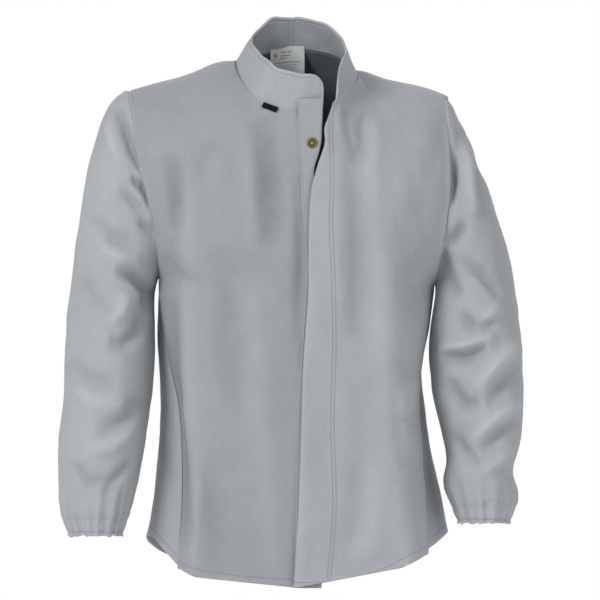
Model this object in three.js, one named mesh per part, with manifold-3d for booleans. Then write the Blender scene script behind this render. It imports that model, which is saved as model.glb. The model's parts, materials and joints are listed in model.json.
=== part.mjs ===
// A split-leather welding jacket: body, sleeves, stand-up collar, concealed press-stud fly and
// elasticated cuffs. Millimetres, +Z up, fronts facing -Y, the wearer's left at +X. The origin is
// the middle of the neck at the height of the shoulder-neck points, where the wearer holds it up.
import * as THREE from "three";
import { mergeVertices } from "three/addons/utils/BufferGeometryUtils.js";
import Module from "manifold-3d";

const wasm = await Module();
wasm.setup();

/* ---------- driving dimensions ---------- */

const CHEST_WIDTH = 384; // underarm to underarm
const CHEST_DEPTH = 270; // front to back at the chest
const BODY_LENGTH = 737; // shoulder-neck point to the fly's hem
const SLEEVE_LENGTH = 623; // shoulder seam to the cuff's edge
const COLLAR_HEIGHT = 47;
const LEATHER = 1.6; // one ply of split leather
const PLACKET_PLY = 2.4; // the placket strip, folded double
const LINING = 0.8;
const ELASTIC_PLY = 1.6;
const PLY_GAP = 0.4; // between plies that are sewn together
const SEAM_GAP = 0.6; // between panels that meet at a seam
const ARMHOLE_GAP = 0.9; // between a sleeve and its armhole
const PLACKET_WIDTH = 38;
const FLY_WIDTH = 50; // the facing inside the left front's edge
const CUFF_HEIGHT = 32;
const ELASTIC_HEIGHT = 14;
const SNAP_RADIUS = 6.2; // socket and stud flange
const SNAP_COUNT = 5;
const SNAP_FIRST = -113; // height of the top stud
const SNAP_PITCH = 133;
const SNAP_SIDES = 10;
const CAP_THICKNESS = 1;
const SOCKET_THICKNESS = 2.4;
const FLANGE_THICKNESS = 0.8;
const SNAP_GAP = 0.45; // between a snap's part and the leather it is set on
const BORE_RADIUS = 3.7; // the socket's bore
const STUD_RADIUS = 2.9; // the stud's head, inside that bore
const POST_RADIUS = 1.6; // the cap's and the stud back's posts
const POST_CLEARANCE = 0.5; // of a post in its hole in the leather
const LABEL_WIDTH = 45;
const LABEL_LENGTH = 52;
const LABEL_PLY = 0.6;
const TAG_WIDTH = 25;
const TAG_HEIGHT = 8;
const TAG_PLY = 0.8;
const TAG_LIFT = 0.8; // its flat back over the curved leather

/* ---------- what follows from them ---------- */

const DRAFT_WIDTH = 384; // the key points below are given for these four sizes
const DRAFT_DEPTH = 270;
const DRAFT_LENGTH = 737;
const DRAFT_SLEEVE = 623;
const WIDE = CHEST_WIDTH / DRAFT_WIDTH;
const DEEP = CHEST_DEPTH / DRAFT_DEPTH;
const CHEST_LEVEL = -300; // the body is lengthened below this height
const CAP_OUTER = LEATHER + SNAP_GAP; // depths below the left front's face
const FACING_DEPTH = CAP_OUTER + CAP_THICKNESS + SNAP_GAP;
const SOCKET_DEPTH = FACING_DEPTH + LEATHER + SNAP_GAP;
const STUD_DEPTH = SOCKET_DEPTH + SOCKET_THICKNESS + SNAP_GAP * 2;
const STACK = STUD_DEPTH + FLANGE_THICKNESS + SNAP_GAP; // down to the placket's face

const SUEDE = { color: 0xa3a7aa, roughness: 0.95, metalness: 0 };
const DARK_CLOTH = { color: 0x4b4f53, roughness: 0.95, metalness: 0 };
const WHITE_TAPE = { color: 0xd9dadb, roughness: 0.8, metalness: 0 };
const BLACK_TAPE = { color: 0x16171a, roughness: 0.7, metalness: 0 };
const ELASTIC = { color: 0x8f9396, roughness: 0.9, metalness: 0 };
const BRASS = { color: 0x8a7440, roughness: 0.4, metalness: 1 };

const clamp = THREE.MathUtils.clamp;
const lerp = THREE.MathUtils.lerp;
const smooth = THREE.MathUtils.smoothstep;

// Heights below the chest follow the body's length.
function low(z) {
  const stretch = (BODY_LENGTH + CHEST_LEVEL) / (DRAFT_LENGTH + CHEST_LEVEL);
  return z > CHEST_LEVEL ? z : CHEST_LEVEL + (z - CHEST_LEVEL) * stretch;
}

// A smooth function through stations [where, value], read anywhere between them.
function track(stations, place = (v) => v) {
  const at = stations.map(([where]) => place(where));
  const values = stations.map(([, value]) => value);
  const rising = at[0] < at[at.length - 1];
  const slope = (i) => (values[i + 1] - values[i]) / (at[i + 1] - at[i]);
  const tangent = (i) =>
    i === 0 ? slope(0) : i === at.length - 1 ? slope(i - 1) : (slope(i - 1) + slope(i)) / 2;
  return (where) => {
    const inside = rising
      ? clamp(where, at[0], at[at.length - 1])
      : clamp(where, at[at.length - 1], at[0]);
    let i = 0;
    while (i < at.length - 2 && (rising ? inside > at[i + 1] : inside < at[i + 1])) i += 1;
    const span = at[i + 1] - at[i];
    const k = (inside - at[i]) / span;
    return (
      values[i] * (1 + 2 * k) * (1 - k) ** 2 +
      tangent(i) * span * k * (1 - k) ** 2 +
      values[i + 1] * k * k * (3 - 2 * k) -
      tangent(i + 1) * span * k * k * (1 - k)
    );
  };
}

// A line of points [height, x, y] read by height: outwards and front to back.
function seamLine(points) {
  const x = track(points.map(([z, px]) => [z, px]), low);
  const y = track(points.map(([z, , py]) => [z, py]), low);
  return (z) => ({ x: x(z) * WIDE, y: y(z) * DEEP });
}

/* ---------- the neck and the collar ---------- */

// Neck seam from the right front's end round the back to the left front's end, and beside each
// point the way the collar leans there.
const NECK = [
  { seam: [38, -104, -56], lean: [1, -6, 46] },
  { seam: [3, -106, -64], lean: [0, -7, 51] },
  { seam: [-30, -97, -60], lean: [3, -5, 54] },
  { seam: [-60, -70, -42], lean: [16, -5, 52] },
  { seam: [-78, -32, -18], lean: [24, -5, 45] },
  { seam: [-82, 5, -3], lean: [25, -5, 49] },
  { seam: [-62, 42, 12], lean: [22, -19, 45] },
  { seam: [0, 62, 22], lean: [0, -28, 39] },
  { seam: [62, 42, 11], lean: [-18, -20, 42] },
  { seam: [84, 5, -8], lean: [-17, 0, 46] },
  { seam: [88, -28, -20], lean: [-15, -3, 45] },
  { seam: [73, -80, -37], lean: [-3, 2, 46] },
  { seam: [60, -112, -47], lean: [4, 3, 47] },
];
const RIGHT_END = 0;
const PLACKET_TOP = 1;
const RIGHT_FOLD = 3;
const RIGHT_NECK = 5;
const BACK_NECK = 7;
const LEFT_NECK = 9;
const LEFT_FOLD = 11;
const LEFT_END = 12;

const neckSpline = new THREE.CatmullRomCurve3(
  NECK.map(({ seam: [x, y, z] }) => new THREE.Vector3(x * WIDE, y * DEEP, z)),
);
const leanSpline = new THREE.CatmullRomCurve3(
  NECK.map(({ lean }) => new THREE.Vector3(...lean).normalize()),
);
const neck = (station) => neckSpline.getPoint(station / LEFT_END);

// A point on the collar: station along the neck, height from 0 at the seam to 1 at the top.
function collar(station, height) {
  const lean = leanSpline.getPoint(station / LEFT_END).normalize();
  return neck(station).addScaledVector(lean, SEAM_GAP + height * COLLAR_HEIGHT);
}

/* ---------- the body's seams, for each side outwards from the middle ---------- */

const SIDES = {
  right: {
    sign: -1,
    shoulder: { x: 234, y: 4, z: -42 },
    underarm: -302,
    armhole: [[-42, 234], [-83, 226], [-118, 225], [-179, 211], [-231, 199], [-302, 192]],
    seam: [[-302, 192, 4], [-349, 186, -2], [-410, 178, -12], [-483, 164, -22], [-600, 160, -27], [-709, 165, -26]],
    fold: [[-42, 60, -70], [-80, 65, -98], [-130, 71, -112], [-330, 94, -119], [-718, 140, -119]],
    hem: [[-4, -733], [42, -731], [83, -727], [136, -719], [165, -709]],
    backHem: -668,
    neckStations: [RIGHT_FOLD, RIGHT_NECK],
  },
  left: {
    sign: 1,
    shoulder: { x: 216, y: 4, z: -53 },
    underarm: -312,
    armhole: [[-53, 216], [-90, 217], [-165, 220], [-203, 217], [-255, 210], [-312, 198]],
    seam: [[-312, 198, 4], [-372, 190, 8], [-430, 178, 13], [-498, 177, 7], [-613, 182, -12], [-690, 186, -18]],
    fold: [[-37, 73, -80], [-80, 77, -102], [-130, 82, -114], [-250, 95, -120], [-706, 150, -120]],
    hem: [[-2, -737], [24, -737], [65, -728], [118, -715], [159, -704], [186, -690]],
    backHem: -656,
    neckStations: [LEFT_FOLD, LEFT_NECK],
  },
};
const ARMHOLE_FRONT = 74; // how far the armhole reaches forward and back of its top
const ARMHOLE_BACK = 82;
const FLY_EDGE = [
  [-47, 60], [-74, 48], [-92, 41], [-111, 42], [-142, 32], [-177, 23], [-249, 19], [-329, 18],
  [-410, 12], [-500, 9], [-613, 5], [-735, -2],
];
const FLY_FACE = [[-47, -112], [-92, -122], [-142, -127], [-249, -130], [-450, -131], [-735, -130]];
const PLACKET_SEAM = [[-64, 3], [-113, 5], [-200, 10], [-281, 16], [-361, 12], [-490, 4], [-733, 0]];
const BACK_MIDDLE = [[22, 62], [-20, 88], [-60, 108], [-120, 126], [-200, 134], [-410, 141], [-700, 152]];
const BACK_AXIS = [[22, 0], [-42, 10], [-300, 14], [-410, 28], [-700, 41]];
const BACK_HEM = -700;

const flyEdge = track(FLY_EDGE, low);
const flyFace = track(FLY_FACE, low);
const placketSeam = track(PLACKET_SEAM, low);
const backMiddle = track(BACK_MIDDLE, low);
const backAxis = track(BACK_AXIS, low);

for (const side of Object.values(SIDES)) {
  const { shoulder, underarm } = side;
  const armholeX = track(side.armhole);
  const seam = seamLine(side.seam);
  const middle = (shoulder.z + underarm) / 2;
  const half = (shoulder.z - underarm) / 2;
  side.foldLine = seamLine(side.fold);
  side.hemLine = track(side.hem.map(([x, z]) => [x * WIDE, low(z)]));
  // The armhole's edge at an angle: 0 at the shoulder, a quarter turn at the front.
  side.armholeAt = (angle) => {
    const reach = Math.sin(angle) > 0 ? ARMHOLE_FRONT : ARMHOLE_BACK;
    const z = middle + half * Math.cos(angle);
    return new THREE.Vector3(
      side.sign * armholeX(z) * WIDE,
      (shoulder.y - reach * Math.sin(angle)) * DEEP,
      z,
    );
  };
  // A front's or the back's outer edge at a height: the armhole, then the side seam.
  side.edge = (z, reach) => {
    if (z <= underarm) return seam(z);
    const share = clamp((z - middle) / half, -1, 1);
    return {
      x: armholeX(z) * WIDE,
      y: (shoulder.y + reach * Math.sqrt(1 - share * share)) * DEEP,
    };
  };
  side.shoulderPoint = new THREE.Vector3(side.sign * shoulder.x * WIDE, shoulder.y * DEEP, shoulder.z);
}

/* ---------- surfaces: a point for s across and t down, both from 0 to 1 ---------- */

const FALL = 120; // how far down a panel the neck's and shoulder's shape is felt
const roundFall = (drop) => 1 - Math.sqrt(1 - (1 - clamp(drop / FALL, 0, 1)) ** 2);
const softFall = (drop) => (1 - clamp(drop / FALL, 0, 1)) ** 2;

// Turns a row's point towards the panel's top edge, the more the nearer it is.
function hangFrom(top, rowTop, row, drop) {
  const y = roundFall(drop);
  const xz = softFall(drop);
  return row.add(
    new THREE.Vector3((top.x - rowTop.x) * xz, (top.y - rowTop.y) * y, (top.z - rowTop.z) * xz),
  );
}

// The top edge of a front's or the back's outer stretch: neck seam, then shoulder seam.
const NECK_SHARE = 0.4;
function shoulderEdge(side, fromStation, toStation, s) {
  if (s <= NECK_SHARE) return neck(lerp(fromStation, toStation, s / NECK_SHARE));
  const k = (s - NECK_SHARE) / (1 - NECK_SHARE);
  return neck(toStation).lerp(side.shoulderPoint, k);
}

// The outer stretch of a front, from its fold line round to the armhole and the side seam.
const SIDE_ROUNDNESS = 0.88;
function frontSide(side) {
  const [foldStation, neckStation] = side.neckStations;
  const foldTop = neck(foldStation).z;
  const foldHem = side.hemLine(side.foldLine(low(-DRAFT_LENGTH)).x);
  const seamHem = low(side.seam[side.seam.length - 1][0]);
  const row = (s, t) => {
    const zFold = lerp(foldTop, foldHem, t);
    const zEdge = lerp(side.shoulder.z, seamHem, t);
    const from = side.foldLine(zFold);
    const to = side.edge(zEdge, -ARMHOLE_FRONT);
    const round = smooth(-zEdge, -side.underarm - 40, -side.underarm + 90);
    const turn = (s * Math.PI) / 2;
    const across = lerp(s, Math.sin(turn) ** SIDE_ROUNDNESS, lerp(0.35, 1, round));
    const back = lerp(s * s, 1 - Math.cos(turn) ** SIDE_ROUNDNESS, round);
    return new THREE.Vector3(
      side.sign * lerp(from.x, to.x, across),
      lerp(from.y, to.y, back),
      lerp(zFold, zEdge, s),
    );
  };
  return (s, t) => {
    const top = shoulderEdge(side, foldStation, neckStation, s);
    const point = row(s, t);
    const drop = (foldTop - lerp(foldTop, foldHem, t)) * (1 + 8 * s ** 6);
    const hung = hangFrom(top, row(s, 0), point, drop);
    const hem = side.hemLine(Math.abs(hung.x)) - lerp(foldHem, seamHem, s);
    hung.z += hem * smooth(t, 0.6, 1);
    return hung;
  };
}

// The inner stretch of the right front, from the placket's seam to the fold line.
function rightFront(s, t) {
  const side = SIDES.right;
  const hem = side.hemLine(0);
  const foldHem = side.hemLine(side.foldLine(low(-DRAFT_LENGTH)).x);
  const row = (k) => {
    const z = lerp(lerp(neck(PLACKET_TOP).z, hem, k), lerp(neck(RIGHT_FOLD).z, foldHem, k), s);
    const from = { x: placketSeam(z) * WIDE, y: flyFace(z) * DEEP + STACK };
    const to = side.foldLine(z);
    return new THREE.Vector3(lerp(from.x, -to.x, s), lerp(from.y, to.y, smooth(s, 0, 1)), z);
  };
  const drop = t * (neck(PLACKET_TOP).z - hem);
  return hangFrom(neck(lerp(PLACKET_TOP, RIGHT_FOLD, s)), row(0), row(t), drop);
}

// The left front, from the fly's edge to the fold line.
function leftFront(s, t) {
  const side = SIDES.left;
  const foldHem = side.hemLine(side.foldLine(low(-DRAFT_LENGTH)).x);
  const row = (k) => {
    const zEdge = lerp(neck(LEFT_END).z, low(-DRAFT_LENGTH), k);
    const z = lerp(zEdge, lerp(neck(LEFT_FOLD).z, foldHem, k), s);
    const from = { x: flyEdge(z) * WIDE, y: flyFace(z) * DEEP };
    const to = side.foldLine(z);
    return new THREE.Vector3(lerp(from.x, to.x, s), lerp(from.y, to.y, smooth(s, 0.5, 1)), z);
  };
  const drop = t * (neck(LEFT_END).z - low(-DRAFT_LENGTH));
  return hangFrom(neck(lerp(LEFT_END, LEFT_FOLD, s)), row(0), row(t), drop);
}

// The placket strip, from its seam to its free edge.
function placket(s, t) {
  const top = neck(lerp(PLACKET_TOP, RIGHT_END, s));
  const z = lerp(top.z, SIDES.right.hemLine(0), t);
  const x = (placketSeam(z) + SEAM_GAP) * WIDE + s * PLACKET_WIDTH;
  return new THREE.Vector3(x, flyFace(z) * DEEP + STACK, z);
}

const BACK_SPREAD = 1.3; // crowds the back's columns towards its middle, as the neck seam does
// The back, for s from -1 at the right side seam to 1 at the left one.
function back(s, t) {
  const side = s < 0 ? SIDES.right : SIDES.left;
  const out = Math.abs(s);
  const zMiddle = lerp(neck(BACK_NECK).z, low(BACK_HEM), t);
  const row = (k) => {
    const z = lerp(
      lerp(neck(BACK_NECK).z, low(BACK_HEM), k),
      lerp(side.shoulder.z, low(side.backHem), k),
      out,
    );
    const edge = side.edge(z, ARMHOLE_BACK);
    const axis = backAxis(z) * DEEP;
    const reach = backMiddle(z) * DEEP - axis;
    const last = Math.asin(clamp((edge.y - axis) / reach, -0.95, 0.95));
    const angle = lerp(Math.PI / 2, last, out ** BACK_SPREAD);
    const wide = edge.x / Math.cos(last);
    return new THREE.Vector3(side.sign * wide * Math.cos(angle), axis + reach * Math.sin(angle), z);
  };
  const top = shoulderEdge(side, BACK_NECK, side.neckStations[1], out);
  const drop = (neck(BACK_NECK).z - zMiddle) * (1 + 8 * out ** 6);
  return hangFrom(top, row(0), row(t), drop);
}

/* ---------- sleeves: a point for an angle round and v from the armhole to the cuff ---------- */

const SLEEVES = {
  right: {
    outer: [[-330, 315], [-361, 319], [-445, 323], [-557, 329], [-613, 325], [-640, 320], [-665, 314]],
    inner: [[-330, 197], [-389, 199], [-445, 202], [-501, 207], [-557, 214], [-613, 227], [-665, 245]],
    end: -665,
  },
  left: {
    outer: [[-330, 311], [-400, 320], [-480, 322], [-540, 315], [-575, 307], [-605, 311], [-647, 299]],
    inner: [[-330, 202], [-417, 198], [-473, 198], [-529, 212], [-571, 214], [-605, 215], [-647, 230]],
    end: -647,
  },
};
const SLEEVE_DEPTH = [[-330, 76], [-445, 70], [-557, 60], [-613, 52], [-665, 41]];
const SLEEVE_MIDDLE = [[-330, 1], [-445, -8], [-557, -20], [-665, -32]];
const UPPER_RING = -330; // where the sleeve's cap ends
const CAP_SHARE = 0.42; // of the sleeve's length from armhole to cuff that its cap takes

function sleeve(sideName) {
  const side = SIDES[sideName];
  const spec = SLEEVES[sideName];
  const stretch = SLEEVE_LENGTH / DRAFT_SLEEVE;
  const down = (z) => UPPER_RING + (z - UPPER_RING) * stretch;
  const outer = track(spec.outer, down);
  const inner = track(spec.inner, down);
  const depth = track(SLEEVE_DEPTH, down);
  const middle = track(SLEEVE_MIDDLE, down);
  const end = down(spec.end);
  const out = side.sign;
  const ring = (angle, z) =>
    new THREE.Vector3(
      out * WIDE * ((outer(z) + inner(z)) / 2 + ((outer(z) - inner(z)) / 2) * Math.cos(angle)),
      DEEP * (middle(z) - depth(z) * Math.sin(angle)),
      z,
    );
  const point = (angle, v) => {
    if (v >= CAP_SHARE) return ring(angle, lerp(UPPER_RING, end, (v - CAP_SHARE) / (1 - CAP_SHARE)));
    const height = (1 + Math.cos(angle)) / 2;
    const from = side.armholeAt(angle);
    from.x += out * ARMHOLE_GAP;
    const to = ring(angle, UPPER_RING);
    const push = lerp(2, 46, height);
    const leave = from.clone().add(new THREE.Vector3(out * push, 0, -0.15 * push));
    const arrive = to.clone().add(new THREE.Vector3(-out * 6 * height, 0, lerp(8, 130, height)));
    return new THREE.CubicBezierCurve3(from, leave, arrive, to).getPoint(v / CAP_SHARE);
  };
  const centre = (v) => {
    const low1 = point(Math.PI, v);
    return point(0, v).add(low1).multiplyScalar(0.5);
  };
  const cuffTop = lerp(CAP_SHARE, 1, (end + CUFF_HEIGHT - UPPER_RING) / (end - UPPER_RING));
  return { point, centre, cuffTop, end };
}

/* ---------- solids ---------- */

const BODY_MIDDLE = new THREE.Vector3(0, 10, -350);
const insideBody = () => BODY_MIDDLE;
const insideNeck = (point) => new THREE.Vector3(0, -25, point.z);
const STEP = 1e-4;

// The outward normal of surface(s, t), away from a point inside.
function normalAt(surface, s, t, inside) {
  const point = surface(s, t);
  const ds = s > 0.5 ? -STEP : STEP;
  const dt = t > 0.5 ? -STEP : STEP;
  const along = surface(s + ds, t).sub(point).divideScalar(ds);
  const down = surface(s, t + dt).sub(point).divideScalar(dt);
  const normal = along.cross(down).normalize();
  return normal.dot(point.clone().sub(inside(point))) < 0 ? normal.negate() : normal;
}

// Turns a geometry's faces round if they point inwards.
function facingOut(geometry) {
  const solid = geometry.index ? geometry.toNonIndexed() : geometry;
  const p = solid.getAttribute("position").array;
  let volume = 0;
  for (let i = 0; i < p.length; i += 9) {
    const a = new THREE.Vector3().fromArray(p, i);
    const b = new THREE.Vector3().fromArray(p, i + 3);
    const c = new THREE.Vector3().fromArray(p, i + 6);
    volume += a.dot(b.cross(c));
  }
  if (volume < 0)
    for (let i = 0; i < p.length; i += 9)
      for (let k = 0; k < 3; k += 1)
        [p[i + 3 + k], p[i + 6 + k]] = [p[i + 6 + k], p[i + 3 + k]];
  const plain = new THREE.BufferGeometry().setAttribute("position", new THREE.BufferAttribute(p, 3));
  return mergeVertices(plain, 1e-3);
}

// Splits the quads of a box's last face along the same diagonals as its opposite face's, so that
// plies laid on each other bend alike.
function matchDiagonals(box) {
  const corners = box.getIndex();
  const { start, count } = box.groups[box.groups.length - 1];
  for (let k = start; k < start + count; k += 6) {
    const [a, b, d, c] = [0, 1, 2, 4].map((i) => corners.getX(k + i));
    [a, b, c, a, c, d].forEach((corner, i) => corners.setX(k + i, corner));
  }
}

// A sheet of leather or cloth: its outer face lies `depth` below the surface.
// Its rows are closer together towards the top, where the surface turns most.
const ROW_EASE = 1.4;
function sheet(surface, options) {
  const { columns, rows, depth = 0, ply = LEATHER, inside = insideBody, foot = 1, ease = ROW_EASE } = options;
  const geometry = new THREE.BoxGeometry(1, 1, 1, columns, rows, 1);
  matchDiagonals(geometry);
  const place = geometry.getAttribute("position");
  for (let i = 0; i < place.count; i += 1) {
    const s = clamp(place.getX(i) + 0.5, 0, 1);
    const t = (foot * clamp(0.5 - place.getY(i), 0, 1)) ** ease;
    const below = place.getZ(i) > 0 ? depth : depth + ply;
    const point = surface(s, t).addScaledVector(normalAt(surface, s, t, inside), -below);
    place.setXYZ(i, point.x, point.y, point.z);
  }
  return facingOut(geometry);
}

// A stretch of sleeve or cuff: a tube with a wall, between two shares of the sleeve's length.
function tube(arm, { from, to, rings, sides = 18, depth = 0, ply = LEATHER }) {
  const profile = [];
  for (let i = 0; i <= rings; i += 1) profile.push(new THREE.Vector2(2, i / rings));
  for (let i = rings; i >= 0; i -= 1) profile.push(new THREE.Vector2(1, i / rings));
  profile.push(profile[0].clone());
  const geometry = new THREE.LatheGeometry(profile, sides);
  const place = geometry.getAttribute("position");
  for (let i = 0; i < place.count; i += 1) {
    const turn = Math.atan2(place.getX(i), place.getZ(i));
    const angle = turn < -STEP ? turn + 2 * Math.PI : Math.max(turn, 0);
    const wrapped = angle > 2 * Math.PI - STEP ? 0 : angle;
    const v = lerp(from, to, place.getY(i));
    const outerWall = Math.hypot(place.getX(i), place.getZ(i)) > 1.5;
    const surface = (a, b) => arm.point(a, b);
    const point = surface(wrapped, v).addScaledVector(
      normalAt(surface, wrapped, v, () => arm.centre(v)),
      -(outerWall ? depth : depth + ply),
    );
    place.setXYZ(i, point.x, point.y, point.z);
  }
  return facingOut(geometry);
}

function solidOf(geometry) {
  const bare = geometry.clone();
  bare.deleteAttribute("normal");
  bare.deleteAttribute("uv");
  const merged = mergeVertices(bare, 1e-3);
  return new wasm.Manifold(
    new wasm.Mesh({
      numProp: 3,
      vertProperties: merged.getAttribute("position").array,
      triVerts: new Uint32Array(merged.index.array),
    }),
  );
}

// A geometry with round holes through it, each along its own axis.
function withHoles(geometry, radius, holes) {
  let solid = solidOf(geometry);
  for (const { point, axis } of holes) {
    const drill = new THREE.CylinderGeometry(radius, radius, 4 * LEATHER + PLACKET_PLY, SNAP_SIDES);
    drill.applyQuaternion(new THREE.Quaternion().setFromUnitVectors(new THREE.Vector3(0, 1, 0), axis));
    drill.translate(point.x, point.y, point.z);
    solid = solid.subtract(solidOf(drill));
  }
  const mesh = solid.getMesh();
  return new THREE.BufferGeometry()
    .setAttribute("position", new THREE.BufferAttribute(mesh.vertProperties, 3))
    .setIndex(new THREE.BufferAttribute(mesh.triVerts, 1));
}

// A turned metal part, from its outline of [radius, height] pairs, pointing along an axis.
function turned(outline, { point, axis }, depth) {
  const geometry = new THREE.LatheGeometry(outline.map(([r, h]) => new THREE.Vector2(r, h)), SNAP_SIDES);
  geometry.applyQuaternion(new THREE.Quaternion().setFromUnitVectors(new THREE.Vector3(0, 1, 0), axis));
  const base = point.clone().addScaledVector(axis, -depth);
  return facingOut(geometry.translate(base.x, base.y, base.z));
}

/* ---------- the jacket ---------- */

const jacket = new THREE.Group();

function add(name, geometry, finish) {
  const mesh = new THREE.Mesh(geometry, new THREE.MeshStandardMaterial(finish));
  mesh.name = name;
  jacket.add(mesh);
}

// Body panels. Each stops a seam's gap short of its neighbour.
const PANEL_ROWS = 16;
const FLY_ROWS = 22;
const BACK_COLUMNS = 20;
for (const [name, side] of Object.entries(SIDES)) {
  const surface = frontSide(side);
  const short = (s, t) => {
    const point = surface(s, t);
    point.x += side.sign * SEAM_GAP * (1 - smooth(s, 0, 0.3));
    point.y -= SEAM_GAP * smooth(s, 0.1, 0.3);
    return point;
  };
  add(name + "_front_side", sheet(short, { columns: 10, rows: PANEL_ROWS }), SUEDE);
}
add("right_front_panel", sheet(rightFront, { columns: 6, rows: PANEL_ROWS }), SUEDE);
add("left_front_panel", sheet(leftFront, { columns: 6, rows: FLY_ROWS }), SUEDE);
const backSeamed = (s, t) => {
  const point = back(s, t);
  point.y += SEAM_GAP * smooth(Math.abs(s), 0.4, 1);
  return point;
};
add("back_panel", sheet((s, t) => backSeamed(2 * s - 1, t), { columns: BACK_COLUMNS, rows: PANEL_ROWS }), SUEDE);

const LINING_COLUMNS = 18; // of the back's own columns, and of its rows
const LINING_ROWS = 11;
add(
  "back_lining",
  sheet((s, t) => backSeamed(((2 * s - 1) * LINING_COLUMNS) / BACK_COLUMNS, t), {
    columns: LINING_COLUMNS,
    rows: LINING_ROWS,
    foot: LINING_ROWS / PANEL_ROWS,
    depth: LEATHER + PLY_GAP,
    ply: LINING,
  }),
  DARK_CLOTH,
);

// The collar's two plies, in the stretches that move on their own.
const COLLAR_STRETCHES = [
  ["collar_right", RIGHT_END, RIGHT_FOLD, 6],
  ["collar_back", RIGHT_FOLD, LEFT_FOLD, 16],
  ["collar_left", LEFT_FOLD, LEFT_END, 3],
];
const STATION_GAP = 0.02;
for (const [name, first, last, columns] of COLLAR_STRETCHES) {
  const stretch = (s, t) => collar(lerp(first + STATION_GAP, last - STATION_GAP, s), 1 - t);
  const band = { columns, rows: 2, inside: insideNeck, ease: 1 };
  add(name + "_outer", sheet(stretch, band), SUEDE);
  add(name + "_inner", sheet(stretch, { ...band, depth: LEATHER + PLY_GAP }), SUEDE);
}

// Snaps: the top one is undone, so its socket lies further out than its stud.
const SNAP_INSET = 19; // from the placket's seam
const OPEN_SOCKET = [0.3, 0.13]; // where the undone socket sits on the left front
const FORWARD = new THREE.Vector3(0, -1, 0);
const snaps = [];
for (let i = 0; i < SNAP_COUNT; i += 1) {
  const z = low(SNAP_FIRST - i * SNAP_PITCH);
  const down = (neck(PLACKET_TOP).z - z) / (neck(PLACKET_TOP).z - SIDES.right.hemLine(0));
  const axis = i === 0 ? normalAt(placket, 0.5, down, insideBody) : FORWARD;
  const onPlacket = new THREE.Vector3(placketSeam(z) * WIDE + SNAP_INSET, flyFace(z) * DEEP + STACK, z);
  const stud = { point: onPlacket.addScaledVector(axis, STACK), axis };
  const undone = { point: leftFront(...OPEN_SOCKET), axis: normalAt(leftFront, ...OPEN_SOCKET, insideBody) };
  snaps.push({ stud, socket: i === 0 ? undone : stud });
}
const backFrom = ({ point, axis }, depth) => ({ point: point.clone().addScaledVector(axis, -depth), axis });

// The facing follows the left front's own face, from just inside its edge.
const facingSurface = (s, t) => {
  const down = lerp(0.012, 0.995, t);
  const z = lerp(neck(LEFT_END).z, low(-DRAFT_LENGTH), down);
  const width = SIDES.left.foldLine(z).x - flyEdge(z) * WIDE;
  return leftFront(lerp(0.03, Math.min(FLY_WIDTH / width, 0.93), s), down);
};
add(
  "left_snap_facing",
  withHoles(
    sheet(facingSurface, { columns: 4, rows: FLY_ROWS, depth: FACING_DEPTH }),
    POST_RADIUS + POST_CLEARANCE,
    snaps.map(({ socket }) => backFrom(socket, FACING_DEPTH)),
  ),
  SUEDE,
);
add(
  "right_placket",
  withHoles(
    sheet(placket, { columns: 2, rows: PANEL_ROWS, ply: PLACKET_PLY }),
    POST_RADIUS + POST_CLEARANCE,
    snaps.map(({ stud }) => backFrom(stud, STACK)),
  ),
  SUEDE,
);

const HEAD_TOP = STUD_DEPTH - SOCKET_DEPTH - SNAP_GAP; // how far a stud's head stands into its socket
snaps.forEach(({ stud, socket }, i) => {
  const number = i + 1;
  add(
    "snap_cap_" + number,
    turned(
      [
        [0, CAP_THICKNESS],
        [SNAP_RADIUS - 1, CAP_THICKNESS],
        [SNAP_RADIUS, 0],
        [POST_RADIUS, 0],
        [POST_RADIUS, -LEATHER - 2 * SNAP_GAP],
        [0, -LEATHER - 2 * SNAP_GAP],
      ],
      socket,
      CAP_OUTER + CAP_THICKNESS,
    ),
    BRASS,
  );
  add(
    "snap_socket_" + number,
    turned(
      [
        [BORE_RADIUS, 0],
        [SNAP_RADIUS, 0],
        [SNAP_RADIUS, SOCKET_THICKNESS],
        [BORE_RADIUS, SOCKET_THICKNESS],
        [BORE_RADIUS, 0],
      ],
      socket,
      SOCKET_DEPTH + SOCKET_THICKNESS,
    ),
    BRASS,
  );
  add(
    "stud_" + number,
    turned(
      [
        [0, 0],
        [SNAP_RADIUS, 0],
        [SNAP_RADIUS, FLANGE_THICKNESS],
        [STUD_RADIUS - 0.6, FLANGE_THICKNESS],
        [STUD_RADIUS, HEAD_TOP - 0.4],
        [STUD_RADIUS - 0.8, HEAD_TOP],
        [0, HEAD_TOP],
      ],
      stud,
      STUD_DEPTH + FLANGE_THICKNESS,
    ),
    BRASS,
  );
  const through = PLACKET_PLY + SNAP_GAP;
  add(
    "stud_post_" + number,
    turned(
      [
        [0, 0],
        [SNAP_RADIUS - 1, 0],
        [SNAP_RADIUS - 1, FLANGE_THICKNESS],
        [POST_RADIUS, FLANGE_THICKNESS],
        [POST_RADIUS, FLANGE_THICKNESS + through],
        [0, FLANGE_THICKNESS + through],
      ],
      stud,
      STACK + through + FLANGE_THICKNESS,
    ),
    BRASS,
  );
});

// Sleeves, their cuff casings and the elastic inside.
for (const name of Object.keys(SLEEVES)) {
  const arm = sleeve(name);
  const share = (height) => (height / (arm.end - UPPER_RING)) * (1 - CAP_SHARE);
  add(name + "_sleeve", tube(arm, { from: 0, to: arm.cuffTop + share(SEAM_GAP / 2), rings: 14 }), SUEDE);
  add(name + "_cuff", tube(arm, { from: arm.cuffTop - share(SEAM_GAP / 2), to: 1, rings: 3 }), SUEDE);
  add(
    name + "_cuff_elastic",
    tube(arm, {
      from: 1 + share(ELASTIC_HEIGHT + 3),
      to: 1 + share(3),
      rings: 1,
      depth: LEATHER + PLY_GAP,
      ply: ELASTIC_PLY,
    }),
    ELASTIC,
  );
}

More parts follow.
